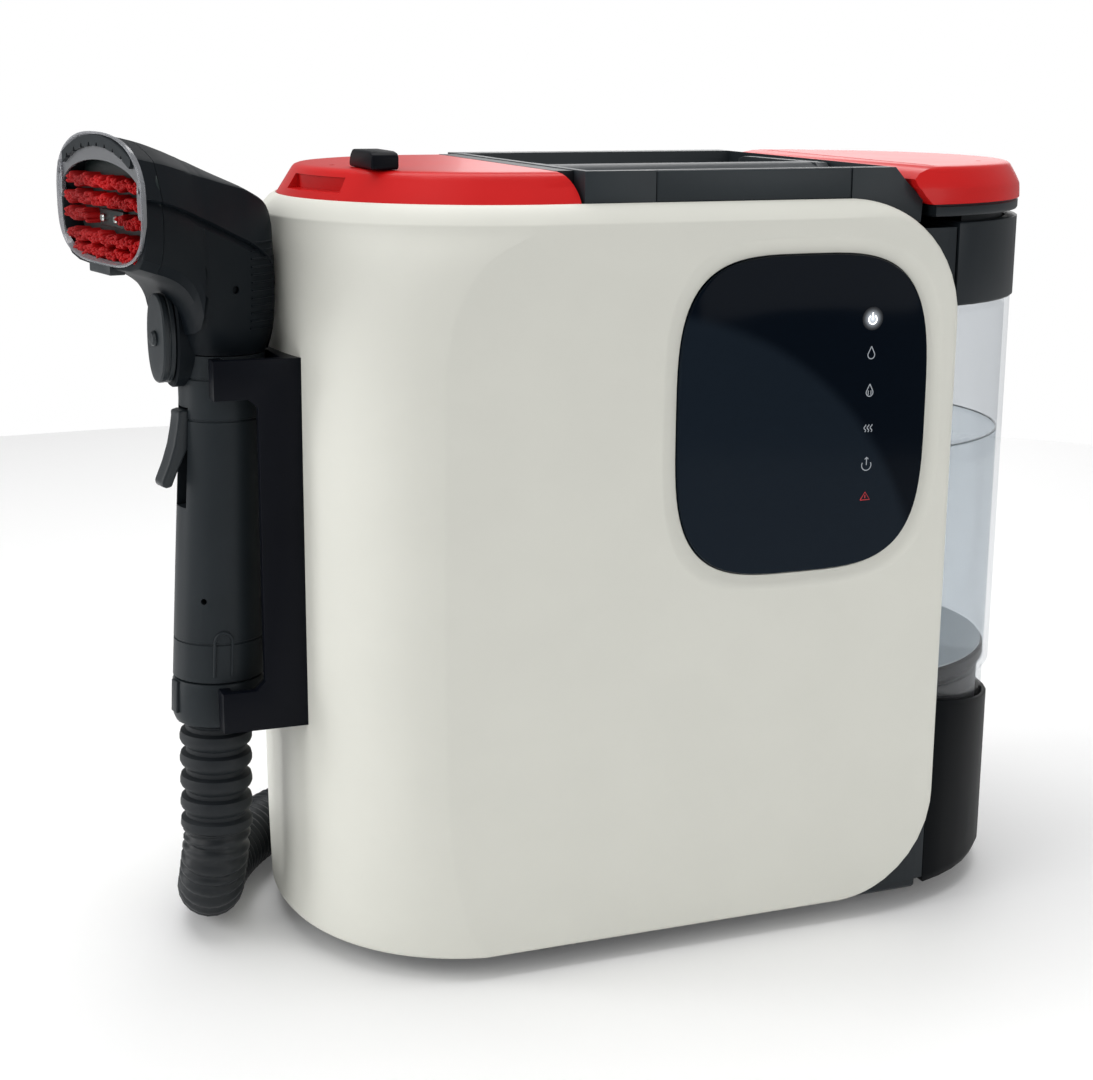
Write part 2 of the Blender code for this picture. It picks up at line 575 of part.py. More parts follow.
# ---------------------------------------------------------------- rear fittings
def rear_fittings():
    """Hose elbow, cord gland, vent grille, hose hooks and shell screws."""
    port = turned_along("hose_port", (PORT_X, 0.0760, PORT_Z), (0, 1, 0), [
        (0.0200, 0), (0.0220, 0.0005), (0.0220, 0.0214), (0.0245, 0.0215), (0.0245, 0.0240),
        (0.0180, 0.0300),
        (0.0180, 0.0400), (0.0120, 0.0540)], BLACK)
    elbow = turned_along("join_elbow", (PORT_X - 0.0050, HOSE_Y, PORT_Z), (-1, 0, 0), [
        (0.0120, -0.012), (0.0178, -0.006), (0.0178, 0.012), (0.0195, 0.0125), (0.0195, 0.022),
        (0.0170, 0.023)],
        BLACK)
    cut(port, elbow, "UNION")
    turned_along("mains_gland", (GLAND[0], 0.0880, GLAND[1]), (0, 1, 0), [
        (0.0075, 0), (0.0080, 0.0005), (0.0080, 0.0092), (0.0110, 0.0093), (0.0110, 0.0120),
        (0.0065, 0.0135),
        (0.0050, 0.0240)], RUBBER, 16)
    vent_grille()
    hooks = block("hose_hooks", (HOOKS[0] - 0.006, 0.0900, HOOK_Z - 0.0060),
                  (HOOKS[1] + 0.006, 0.0935, HOOK_Z + 0.0060), BLACK)
    for x in HOOKS:
        for y0, y1, top in ((0.0925, 0.1380, 0.0060), (0.1340, 0.1380, 0.0180)):
            arm = block("join_hook", (x - 0.0058, y0, HOOK_Z - 0.0058), (x + 0.0058, y1, HOOK_Z + top),
                        BLACK)
            cut(hooks, arm, "UNION")
    for number, (x, z) in enumerate(SCREWS, 1):
        turned_along("shell_screw_%d" % number, (x, 0.0880, z), (0, 1, 0), [
            (0.0022, 0), (0.0022, 0.0075), (0.0030, 0.0076), (0.0030, 0.0088), (0.0024, 0.0095)], STEEL, 12)


def vent_grille():
    item = block("vent_grille", (-0.0300, 0.0935, 0.1700), (0.0500, 0.0975, 0.2140), BLACK)
    for row in range(6):
        z = 0.1755 + 0.0062 * row
        cut(item, block("cut_slot", (-0.0260, 0.09, z), (0.0460, 0.10, z + 0.0030), BLACK))


# ---------------------------------------------------------------- cradle
def tool_cradle():
    """Two C-shaped cheeks on ribs that follow the round end; the tool stands between them."""
    low, high, root, inner, tip = 0.1095, 0.2740, -0.1725, -0.1990, -0.2180
    cheek = [(root, low), (tip, low), (tip, low + 0.0180), (inner - 0.004, low + 0.0180),
             (inner, low + 0.0220), (inner, high - 0.0210), (inner - 0.004, high - 0.0170),
             (tip, high - 0.0170), (tip, high), (root, high)]
    mid = TOOL_AXIS_TOP.y
    y_front = -0.0413
    item = plate("tool_cradle", cheek, y_front, y_front + 0.0046, BLACK)
    y_rear = 2 * mid - y_front
    parts = [plate("join_rear_cheek", cheek, y_rear - 0.0046, y_rear, BLACK)]
    for side, y in ((1, y_front), (-1, y_rear)):
        for z in (low, high - 0.0170):
            a, b = sorted((y + side * 0.001, y + side * 0.0096))
            top = z + (0.0180 if z == low else 0.0170)
            parts.append(block("join_pad", (tip, a, z), (tip + 0.0048, b, top), BLACK))
    for z0, z1 in ((high - 0.0042, high), (low, low + 0.0042)):
        parts.append(block("join_rib", (-0.1880, y_front, z0), (root, y_rear, z1), BLACK))
    for part in parts:
        cut(item, part, "UNION")
    keep_off = turned("cut_round_end", LEFT_X, 0, [(BODY_R + GAP, 0.05), (BODY_R + GAP, 0.32)], BLACK, 72)
    cut(item, keep_off)


# ---------------------------------------------------------------- hand tool
FORWARD = Vector((-math.cos(TOOL_TURN), -math.sin(TOOL_TURN), 0))
SIDE = Vector((-math.sin(TOOL_TURN), math.cos(TOOL_TURN), 0))
AXIS_SLOPE = (TOOL_AXIS_TOP.x - TOOL_AXIS_LOW.x) / (TOOL_AXIS_TOP.z - TOOL_AXIS_LOW.z)


def axis_at(z):
    """Centre of the grip, which leans out a little towards its lower end."""
    return Vector((TOOL_AXIS_TOP.x + AXIS_SLOPE * (min(z, TOOL_AXIS_TOP.z) - TOOL_AXIS_TOP.z),
                   TOOL_AXIS_TOP.y, z))


def tool_point(u, w, z):
    """u forward towards the nozzle, w across, from the grip's axis at that height."""
    return axis_at(z) + FORWARD * u + SIDE * w


def grip_loop(radius_u, radius_w, z, centre=0.0, steps=20):
    return [tuple(tool_point(centre + radius_u * math.cos(t), radius_w * math.sin(t), z))
            for t in [2 * math.pi * i / steps for i in range(steps)]]


def tool_grip():
    loops = [grip_loop(GRIP_R + 0.0008, GRIP_R + 0.0008, 0.1290),
             grip_loop(GRIP_R + 0.0014, GRIP_R + 0.0014, 0.1300),
             grip_loop(GRIP_R, GRIP_R, 0.2540), grip_loop(GRIP_R + 0.0002, GRIP_R + 0.0002, 0.2740)]
    item = loft("tool_grip", loops, SOOT)
    slot = [(0.0120, -0.0052, 0.2105), (0.0300, -0.0052, 0.2105), (0.0300, 0.0052, 0.2105),
            (0.0120, 0.0052, 0.2105)]
    loops = [[tuple(tool_point(u, w, z)) for u, w, _ in slot] for z in (0.2070, 0.2512)]
    cut(item, loft("cut_slot", loops, SOOT))


def tool_cap():
    loops = [grip_loop(0.0160, 0.0160, 0.1080), grip_loop(0.0198, 0.0198, 0.1130),
             grip_loop(0.0202, 0.0202, 0.1287)]
    loft("tool_cap", loops, SOOT)


HEAD_SECTIONS = [  # u, half width, bottom z, top z of the head from back to mouth
    (-0.0205, 0.0120, 0.2745, 0.3190), (-0.0150, 0.0205, 0.2745, 0.3385), (0.0, 0.0270, 0.2745, 0.3485),
    (0.0190, 0.0345, 0.2760, 0.3568), (0.0207, 0.0350, 0.2900, 0.3575), (0.0240, 0.0370, 0.3010, 0.3590),
    (0.0320, 0.0410, 0.3040, 0.3622), (0.0420, 0.0455, 0.3100, 0.3655)]
MOUTH_U, MOUTH_LOW, MOUTH_HIGH = 0.0530, 0.3140, 0.3684


def head_loop(u, half, low, high, steps=20, power=3.2):
    mid, tall = (low + high) / 2, (high - low) / 2
    return [tuple(tool_point(u, w, mid + z)) for w, z in squircle(half, tall, steps, power)]


def tool_head():
    loops = [head_loop(*section) for section in HEAD_SECTIONS]
    loft("tool_head", loops, SOOT, angle=40)


def nozzle():
    """Clear nozzle rim in front of the head, with the brush plate and jets inside it."""
    outer = [(0.0424, 0.0460, 0.3090, 0.3660), (MOUTH_U, NOZZLE_HALF_W, MOUTH_LOW, MOUTH_HIGH)]
    inner = [(MOUTH_U, NOZZLE_HALF_W - 0.002, MOUTH_LOW + 0.002, MOUTH_HIGH - 0.002),
             (0.0424, 0.0440, 0.3110, 0.3640)]
    loops = [head_loop(*section) for section in outer + inner]
    count = len(loops[0])
    points = [point for loop in loops for point in loop]
    faces = []
    for level in range(4):
        nxt = (level + 1) % 4
        for i in range(count):
            j = (i + 1) % count
            faces.append((level * count + i, level * count + j, nxt * count + j, nxt * count + i))
    solid("nozzle_window", points, faces, WINDOW)
    brush = loft("nozzle_brush", [head_loop(0.0424, 0.0425, 0.3125, 0.3625),
                                  head_loop(0.0450, 0.0425, 0.3125, 0.3625)], RED)
    rows = [(-0.0140, 0.0350), (-0.0070, 0.0400), (0.0100, 0.0400), (0.0165, 0.0355)]
    for number, (dz, half) in enumerate(rows, 1):
        z = (MOUTH_LOW + MOUTH_HIGH) / 2 + dz - 0.003
        corners = [(-half, z - 0.0032), (half, z - 0.0032), (half, z + 0.0032), (-half, z + 0.0032)]
        loops = [[tuple(tool_point(u, w, zz)) for w, zz in corners] for u in (0.0440, 0.0545)]
        cut(brush, loft("join_row_%d" % number, loops, RED), "UNION")
    middle = (MOUTH_LOW + MOUTH_HIGH) / 2 - 0.003
    corners = [(-0.0100, middle - 0.0028), (0.0120, middle - 0.0028), (0.0120, middle + 0.0028),
               (-0.0100, middle + 0.0028)]
    bar = loft("spray_bar", [[tuple(tool_point(u, w, z)) for w, z in corners] for u in (0.0453, 0.0470)],
               BRASS)
    for w in (-0.006, 0.008):
        jet = turned_along("join_jet", tool_point(0.0460, w, middle), FORWARD,
                           [(0.0024, 0), (0.0024, 0.003), (0.0012, 0.005)], BRASS, 10)
        cut(bar, jet, "UNION")


def trigger():
    """Finger lever on the front of the grip, pivoting near its upper end."""
    half = 0.0046
    outline = [(0.0125, 0.2490), (0.0195, 0.2505), (0.0218, 0.2480), (0.0238, 0.2350), (0.0292, 0.2200),
               (0.0278, 0.2165), (0.0242, 0.2172), (0.0190, 0.2300), (0.0135, 0.2420)]
    loops = [[tuple(tool_point(u, w, z)) for u, z in outline] for w in (-half, half)]
    item = loft("tool_trigger", loops, SOOT)
    move_origin(item, tool_point(TRIGGER_PIVOT_U, 0, TRIGGER_PIVOT_Z))


def knob():
    """Oval selector on the neck, in two layers, turning about the forward axis."""
    base = [tuple(tool_point(u, w * 0.0105, KNOB_Z + z * 0.0215))
            for u in (0.0196, 0.0238) for w, z in squircle(1, 1, 20, 2.2)]
    head = bpy.data.objects["tool_head"]
    cut(head, loft("join_knob_base", [base[:20], base[20:]], SOOT), "UNION")
    loops = []
    for u, w_half, z_half in ((0.0242, 0.0098, 0.0192), (0.0290, 0.0098, 0.0192), (0.0302, 0.0086, 0.0180)):
        loops.append([tuple(tool_point(u, w * w_half, KNOB_Z + z * z_half))
                      for w, z in squircle(1, 1, 20, 2.2)])
    item = loft("mode_knob", loops, SOOT)
    move_origin(item, tool_point(0.0242, 0, KNOB_Z))


STRAIN_TOP = Vector((-0.21535, -0.0105, 0.1076))


def strain_relief():
    start, end = STRAIN_TOP, Vector(HOSE_ROUTE[0])
    levels = [(0.0150, 0), (0.0160, 0.001)]
    for ring in range(4):
        at = 0.006 + 0.011 * ring
        levels += [(0.0150, at - 0.002), (0.0162, at), (0.0162, at + 0.004), (0.0150, at + 0.006)]
    levels += [(0.0158, (end - start).length - 0.001 - GAP), (0.0150, (end - start).length - GAP)]
    turned_along("strain_relief", start, end - start, levels, RUBBER)


# ---------------------------------------------------------------- hose
HOSE_ROUTE = [
    (-0.2164, -0.0105, 0.0560), (-0.2176, -0.0090, 0.0400), (-0.2178, -0.0010, 0.0245),
    (-0.2140, 0.0180, 0.0164), (-0.2030, 0.0430, 0.0158), (-0.1860, 0.0680, 0.0158),
    (-0.1640, 0.0900, 0.0158), (-0.1360, 0.1060, 0.0160), (-0.1040, 0.1150, 0.0165),
    (-0.0650, HOSE_Y, 0.0168), (-0.0200, HOSE_Y, 0.0170)]
HOSE_END = (PORT_X - 0.0050 - 0.0234, HOSE_Y, PORT_Z)


def hose_route():
    """Down from the tool, back along the floor, one loop over the hooks, into the port."""
    route = [Vector(point) for point in HOSE_ROUTE]
    for degrees in range(-75, 91, 15):
        angle = math.radians(degrees)
        route.append(Vector((0.035 + LOOP_R * math.cos(angle), HOSE_Y, LOOP_Z + LOOP_R * math.sin(angle))))
    inner = (LOOP_Z + LOOP_R - PORT_Z) / 2
    for degrees in range(90, 271, 15):
        angle = math.radians(degrees)
        route.append(Vector((-0.056 + inner * math.cos(angle), HOSE_Y,
                             LOOP_Z + LOOP_R - inner + inner * math.sin(angle))))
    route.append(Vector(HOSE_END))
    return route


def hose():
    route = hose_route()
    straight = Vector(HOSE_ROUTE[0]) + (Vector(HOSE_ROUTE[0]) - STRAIN_TOP).normalized() * 0.006
    points = [route[0]] + smooth_route([straight] + route[1:-1], 0.027) + [route[-1]]
    pipe("hose", points, HOSE_R, RUBBER, 2)


# ---------------------------------------------------------------- build
for build in (base_tray, chassis, core_column, tank_seat, feet, front_shell, rear_shell, deck_frame,
              deck_trims, carry_handle, clean_tank, clean_tank_lid, dirty_tank, dirty_tank_inside,
              control_panel, motor, water_system, suction_duct, power_board, rear_fittings, tool_cradle,
              tool_grip, tool_cap, tool_head, nozzle, trigger, knob, strain_relief, hose):
    build()

# The dimensions above are measured from the middle of the base unit's plan; the part's own
# origin is under the middle of everything but the hose.
ORIGIN_SHIFT = Vector((0.042083, -0.0205, 0.0))
for item in bpy.data.objects:
    item.location += ORIGIN_SHIFT
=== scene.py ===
"""Looks of the carpet cleaner: camera, hose, refined shells, lids, tanks, hand tool and materials,
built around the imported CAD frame.  Metres, +Z up.  Shapes are given from the middle of the base
unit's plan and moved to the row frame by ORIGIN."""

import json
import math
import random

import bmesh
import bpy
import numpy as np
from mathutils import Matrix, Vector


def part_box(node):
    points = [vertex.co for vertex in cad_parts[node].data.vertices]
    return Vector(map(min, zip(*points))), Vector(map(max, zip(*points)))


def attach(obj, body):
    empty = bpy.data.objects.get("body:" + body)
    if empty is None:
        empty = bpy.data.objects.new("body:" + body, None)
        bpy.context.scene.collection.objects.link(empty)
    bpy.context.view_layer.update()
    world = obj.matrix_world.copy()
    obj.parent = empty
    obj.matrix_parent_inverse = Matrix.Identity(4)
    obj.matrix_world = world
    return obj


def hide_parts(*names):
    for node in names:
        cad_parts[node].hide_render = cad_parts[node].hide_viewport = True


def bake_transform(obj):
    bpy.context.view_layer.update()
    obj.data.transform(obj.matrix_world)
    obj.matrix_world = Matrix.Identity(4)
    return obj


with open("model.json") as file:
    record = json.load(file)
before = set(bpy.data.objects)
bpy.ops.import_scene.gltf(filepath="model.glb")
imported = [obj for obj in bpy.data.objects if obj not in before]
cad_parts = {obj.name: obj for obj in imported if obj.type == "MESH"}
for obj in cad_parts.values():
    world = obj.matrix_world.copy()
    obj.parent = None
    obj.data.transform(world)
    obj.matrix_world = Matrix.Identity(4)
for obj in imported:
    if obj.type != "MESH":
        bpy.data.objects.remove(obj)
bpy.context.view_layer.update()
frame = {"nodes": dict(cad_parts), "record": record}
random.seed(7)

# ---------------------------------------------------------------- driving dimensions
BODY_R = 0.097               # half the depth of the base unit
LEFT_X, RIGHT_X = -0.0875, 0.0905   # centres of its round ends
CORE_R = 0.0935              # seat, collar and clean tank
SHELL_LOW, SHELL_TOP = 0.010, 0.340
SHELL_EDGE_X = 0.111
TOP_CORNER_R, LOW_CORNER_R = 0.055, 0.050
SEAM_Y = 0.045               # front and rear shells meet here on the round end
WALL = 0.0028
DECK_TOP = 0.3533
DISPLAY = (0.0338, 0.2457)
DISPLAY_HALF = (0.0617, 0.0710)
TOOL_TOP = Vector((-0.2078, -0.0105, 0.2580))
TOOL_LOW = Vector((-0.2152, -0.0105, 0.0900))
TOOL_TURN = math.radians(11)
HOSE_R = 0.0155
WATER_Z = 0.2250             # level of the clean water
FLOOR_R = 1.30

shell_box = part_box("front_shell")
ORIGIN = Vector((shell_box[0].x + BODY_R - LEFT_X, shell_box[0].y + BODY_R, 0.0))


# ---------------------------------------------------------------- materials
def shader(name):
    material = bpy.data.materials.new(name)
    material.use_nodes = True
    return material, material.node_tree, material.node_tree.nodes["Principled BSDF"]


def link(tree, a, out, b, into):
    tree.links.new(a.outputs[out], b.inputs[into])


def grain(tree, bsdf, scale, depth, detail=2.0, distance=0.0004):
    """Fine moulded texture as a bump."""
    coords = tree.nodes.new("ShaderNodeTexCoord")
    noise = tree.nodes.new("ShaderNodeTexNoise")
    noise.inputs["Scale"].default_value = scale
    noise.inputs["Detail"].default_value = detail
    bump = tree.nodes.new("ShaderNodeBump")
    bump.inputs["Strength"].default_value = depth
    bump.inputs["Distance"].default_value = distance
    link(tree, coords, "Object", noise, "Vector")
    link(tree, noise, "Fac", bump, "Height")
    link(tree, bump, "Normal", bsdf, "Normal")
    return noise


def mottle(tree, bsdf, low, high, scale):
    """Very slight colour and gloss drift over the surface, as moulded plastic has."""
    coords = tree.nodes.new("ShaderNodeTexCoord")
    noise = tree.nodes.new("ShaderNodeTexNoise")
    noise.inputs["Scale"].default_value = scale
    noise.inputs["Detail"].default_value = 4
    ramp = tree.nodes.new("ShaderNodeValToRGB")
    ramp.color_ramp.elements[0].position = 0.35
    ramp.color_ramp.elements[1].position = 0.65
    ramp.color_ramp.elements[0].color = (*low, 1)
    ramp.color_ramp.elements[1].color = (*high, 1)
    link(tree, coords, "Object", noise, "Vector")
    link(tree, noise, "Fac", ramp, "Fac")
    link(tree, ramp, "Color", bsdf, "Base Color")
    rough = tree.nodes.new("ShaderNodeMapRange")
    base = bsdf.inputs["Roughness"].default_value
    rough.inputs["To Min"].default_value = base * 0.92
    rough.inputs["To Max"].default_value = base * 1.08
    link(tree, noise, "Fac", rough, "Value")
    link(tree, rough, "Result", bsdf, "Roughness")


def moulded(name, colour, roughness, spread=0.04, grain_scale=1400, grain_depth=0.05, coat=0.0,
            specular=0.5):
    material, tree, bsdf = shader(name)
    bsdf.inputs["Roughness"].default_value = roughness
    bsdf.inputs["Specular IOR Level"].default_value = specular
    bsdf.inputs["Coat Weight"].default_value = coat
    bsdf.inputs["Coat Roughness"].default_value = 0.08
    mottle(tree, bsdf, [c * (1 - spread) for c in colour], [min(1, c * (1 + spread)) for c in colour], 28)
    if grain_depth:
        grain(tree, bsdf, grain_scale, grain_depth)
    return material


def metal(name, colour, roughness):
    material, tree, bsdf = shader(name)
    bsdf.inputs["Metallic"].default_value = 1.0
    bsdf.inputs["Roughness"].default_value = roughness
    mottle(tree, bsdf, [c * 0.92 for c in colour], colour, 90)
    grain(tree, bsdf, 900, 0.08)
    return material


def see_through(name, tint, cover, roughness=0.06, passes=(0.90, 0.91, 0.92), edge_cover=0.2):
    """Clear moulded plastic: lets most light past, with some haze and gloss at glancing angles."""
    material, tree, bsdf = shader(name)
    bsdf.inputs["Base Color"].default_value = (*tint, 1)
    bsdf.inputs["Roughness"].default_value = roughness
    out = tree.nodes["Material Output"]
    clear = tree.nodes.new("ShaderNodeBsdfTransparent")
    clear.inputs["Color"].default_value = (*passes, 1)
    gloss = tree.nodes.new("ShaderNodeBsdfGlossy")
    gloss.inputs["Roughness"].default_value = roughness
    haze, shine = tree.nodes.new("ShaderNodeMixShader"), tree.nodes.new("ShaderNodeMixShader")
    edge = tree.nodes.new("ShaderNodeLayerWeight")
    edge.inputs["Blend"].default_value = 0.22
    span = tree.nodes.new("ShaderNodeMapRange")
    span.inputs["To Min"].default_value = cover
    span.inputs["To Max"].default_value = min(1.0, cover + edge_cover)
    glance = tree.nodes.new("ShaderNodeMapRange")
    glance.inputs["To Min"].default_value = 0.008
    glance.inputs["To Max"].default_value = 0.10
    link(tree, edge, "Facing", span, "Value")
    link(tree, edge, "Facing", glance, "Value")
    link(tree, span, "Result", haze, "Fac")
    link(tree, glance, "Result", shine, "Fac")
    tree.links.new(clear.outputs[0], haze.inputs[1])
    tree.links.new(bsdf.outputs[0], haze.inputs[2])
    tree.links.new(haze.outputs[0], shine.inputs[1])
    tree.links.new(gloss.outputs[0], shine.inputs[2])
    tree.links.new(shine.outputs[0], out.inputs["Surface"])
    return material


def glass_with_painted_reflection(name, dark, light, reflection_centre, radius):
    """Display glass: deep blue-black, with a painted reflection: a little lighter inside a broad soft arc.
    """
    material, tree, bsdf = shader(name)
    bsdf.inputs["Roughness"].default_value = 0.10
    bsdf.inputs["Specular IOR Level"].default_value = 0.05
    coords = tree.nodes.new("ShaderNodeTexCoord")
    reflection_distance = tree.nodes.new("ShaderNodeVectorMath")
    reflection_distance.operation = "DISTANCE"
    reflection_distance.inputs[1].default_value = reflection_centre
    span = tree.nodes.new("ShaderNodeMapRange")
    span.interpolation_type = "SMOOTHSTEP"
    span.inputs["From Min"].default_value = radius - 0.0040
    span.inputs["From Max"].default_value = radius + 0.0030
    # painted reflection: the light colour fills the soft arc round a fixed point, standing in for a
    # reflection on the glass
    ramp = tree.nodes.new("ShaderNodeValToRGB")
    ramp.color_ramp.elements[0].color = (*light, 1)
    ramp.color_ramp.elements[1].color = (*dark, 1)
    link(tree, coords, "Object", reflection_distance, 0)
    link(tree, reflection_distance, "Value", span, "Value")
    link(tree, span, "Result", ramp, "Fac")
    link(tree, ramp, "Color", bsdf, "Base Color")
    return material


def lamp(name, colour, strength):
    material, tree, bsdf = shader(name)
    bsdf.inputs["Base Color"].default_value = (0.01, 0.01, 0.01, 1)
    bsdf.inputs["Emission Color"].default_value = (*colour, 1)
    bsdf.inputs["Emission Strength"].default_value = strength
    bsdf.inputs["Roughness"].default_value = 0.3
    return material


WHITE = moulded("shell_white", (0.725, 0.725, 0.662), 0.46, 0.010, 1100, 0.03, specular=0.25)
BLACK = moulded("black_plastic", (0.0125, 0.0168, 0.0205), 0.40, 0.06, 1500, 0.05, specular=0.22)
DEEP = moulded("cradle_black", (0.0020, 0.0028, 0.0055), 0.42, 0.06, 1500, 0.05, specular=0.10)
# painted light: the same black plastic made lighter, for the deck's upward faces that catch more light
DECK_PAINTED_LIGHT = moulded("deck_black_painted_light", (0.0200, 0.0265, 0.0310), 0.38, 0.06, 1500, 0.05, specular=0.25)
# painted shade: the same black plastic made darker, for the tank seat that faces down out of the light
SEAT_PAINTED_SHADE = moulded("seat_black_painted_shade", (0.0016, 0.0026, 0.0036), 0.45, 0.06, 1500, 0.05, specular=0.05)
SOOT = moulded("tool_plastic", (0.0160, 0.0205, 0.0240), 0.42, 0.08, 1700, 0.06, specular=0.16)
HEAD_SKIN = moulded("head_plastic", (0.0040, 0.0064, 0.0090), 0.52, 0.08, 1700, 0.06, specular=0.12)
SATIN = moulded("knob_plastic", (0.0185, 0.0235, 0.0275), 0.38, 0.05, 1700, 0.05, specular=0.30)
RED = moulded("red_plastic", (0.590, 0.0075, 0.0075), 0.34, 0.03, 1500, 0.02, coat=0.05, specular=0.25)
# display glass with a painted reflection: lighter inside a soft arc, darker outside
GLASS_WITH_PAINTED_REFLECTION = glass_with_painted_reflection("display_glass", (0.0014, 0.0036, 0.0076), (0.0084, 0.0138, 0.0215),
                     (-0.0527, -0.0970, 0.1457), 0.1491)
CLEAR = see_through("tank_clear", (0.80, 0.82, 0.84), 0.015, edge_cover=0.06)
SMOKE = see_through("tank_smoke", (0.06, 0.065, 0.07), 0.55, 0.12, (0.5, 0.5, 0.5))
LENS = see_through("nozzle_clear", (0.30, 0.31, 0.33), 0.45, 0.12, (0.8, 0.8, 0.82), 0.4)
HAZE = see_through("nozzle_haze", (0.150, 0.155, 0.165), 0.90, 0.25, (0.5, 0.5, 0.5), 0.1)
WATER = see_through("clean_water", (0.60, 0.66, 0.70), 0.03, 0.03, (0.92, 0.945, 0.96), 0.05)
WATER_RIM = see_through("water_rim", (0.20, 0.24, 0.25), 0.70, 0.05, (0.6, 0.62, 0.63), 0.2)
STEEL = metal("stainless", (0.55, 0.55, 0.56), 0.28)
BRASS = metal("brass", (0.60, 0.42, 0.18), 0.3)
JET = metal("jet_metal", (0.62, 0.66, 0.64), 0.22)
BOARD = moulded("board", (0.02, 0.12, 0.06), 0.5)
RUBBER = moulded("rubber", (0.0085, 0.0112, 0.0140), 0.56, 0.10, 900, 0.10, specular=0.30)
HOSE_SKIN = moulded("hose_skin", (0.0080, 0.0105, 0.0130), 0.42, 0.10, 900, 0.06, specular=0.30)
PALE = moulded("tank_floor", (0.62, 0.66, 0.68), 0.4)
GREY = moulded("grey_plastic", (0.25, 0.26, 0.27), 0.5)
BRISTLE = moulded("bristle_red", (0.420, 0.0045, 0.0060), 0.50, 0.35, 2500, 0.10, specular=0.20)
PLATE = moulded("nozzle_plate", (0.0120, 0.0190, 0.0190), 0.35, specular=0.20)
ICON = lamp("icon_white", (0.55, 0.60, 0.66), 0.55)
ICON_ON = lamp("icon_lit", (0.92, 0.95, 1.0), 2.4)
ICON_RED = lamp("icon_red", (0.80, 0.02, 0.03), 0.55)

CAD_LOOKS = {
    "shell_white": WHITE, "black_plastic": BLACK, "tool_plastic": SOOT, "red_plastic": RED,
    "display_glass": GLASS_WITH_PAINTED_REFLECTION, "tank_clear": CLEAR, "tank_smoke": SMOKE, "nozzle_clear": LENS,
    "stainless": STEEL, "boiler_metal": STEEL, "brass": BRASS, "board": BOARD, "rubber": RUBBER,
    "grey_plastic": GREY}
SLOT_OF = {part["node"]: part["material_slot"] for part in frame["record"]["subparts"]}
for node_name, node in frame["nodes"].items():
    for material_slot in node.material_slots:
        material_slot.material = CAD_LOOKS[SLOT_OF[node_name]]


# ---------------------------------------------------------------- building pieces
def finish(item, material, body, nodes=(), angle=30.0):
    """Material, smooth shading with hard edges above the angle, place and body."""
    item.data.materials.clear()
    item.data.materials.append(material)
    if item.type == "MESH":
        item.data.shade_smooth()
        item.data.set_sharp_from_angle(angle=math.radians(angle))
    item.location += ORIGIN
    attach(item, body)
    if nodes:
        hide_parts(*nodes)
    return item


def mesh_item(name, points, faces):
    mesh = bpy.data.meshes.new(name)
    work = bmesh.new()
    corners = [work.verts.new(point) for point in points]
    for face in faces:
        try:
            work.faces.new([corners[i] for i in face])
        except ValueError:
            pass
    bmesh.ops.remove_doubles(work, verts=work.verts, dist=1e-6)
    bmesh.ops.recalc_face_normals(work, faces=work.faces)
    work.to_mesh(mesh)
    work.free()
    item = bpy.data.objects.new(name, mesh)
    bpy.context.scene.collection.objects.link(item)
    return item


def loft(name, loops, cap=True, ring=False):
    count = len(loops[0])
    points = [tuple(point) for loop in loops for point in loop]
    faces = []
    for level in range(len(loops) if ring else len(loops) - 1):
        low, high = level * count, (level + 1) % len(loops) * count
        for i in range(count):
            j = (i + 1) % count
            faces.append((low + i, low + j, high + j, high + i))
    if cap and not ring:
        faces.append(tuple(range(count)))
        faces.append(tuple(range(len(points) - count, len(points))))
    return mesh_item(name, points, faces)


def apply_modifiers(item):
    depsgraph = bpy.context.evaluated_depsgraph_get()
    mesh = bpy.data.meshes.new_from_object(item.evaluated_get(depsgraph), depsgraph=depsgraph)
    item.modifiers.clear()
    item.data = mesh
    return item


def cut(item, tool, operation="DIFFERENCE"):
    modifier = item.modifiers.new("cut", "BOOLEAN")
    modifier.operation = operation
    modifier.object = tool
    apply_modifiers(item)
    bpy.data.objects.remove(tool, do_unlink=True)
    return item


def bevel(item, width, segments=3, angle=35):
    modifier = item.modifiers.new("edges", "BEVEL")
    modifier.width = width
    modifier.segments = segments
    modifier.limit_method = "ANGLE"
    modifier.angle_limit = math.radians(angle)
    modifier.use_clamp_overlap = True
    return apply_modifiers(item)


def arc(cx, cy, radius, start, end, steps):
    return [(cx + radius * math.cos(math.radians(start + (end - start) * i / steps)),
             cy + radius * math.sin(math.radians(start + (end - start) * i / steps)))
            for i in range(steps + 1)]


def squircle(half_w, half_h, steps=96, power=3.6):
    out = []
    for i in range(steps):
        angle = 2 * math.pi * i / steps
        c, s = math.cos(angle), math.sin(angle)
        out.append((math.copysign(abs(c) ** (2 / power), c) * half_w,
                    math.copysign(abs(s) ** (2 / power), s) * half_h))
    return out


def turned(name, start, direction, levels, steps=32):
    """Levels of (radius, distance) about an axis."""
    turn = Vector((0, 0, 1)).rotation_difference(Vector(direction).normalized())
    loops = []
    for radius, along in levels:
        ring = [Vector((radius * math.cos(2 * math.pi * i / steps),
                        radius * math.sin(2 * math.pi * i / steps), along)) for i in range(steps)]
        loops.append([Vector(start) + turn @ point for point in ring])
    return loft(name, loops)


def box(name, low, high):
    (x0, y0, z0), (x1, y1, z1) = low, high
    return loft(name, [[(x0, y0, z), (x1, y0, z), (x1, y1, z), (x0, y1, z)] for z in (z0, z1)])


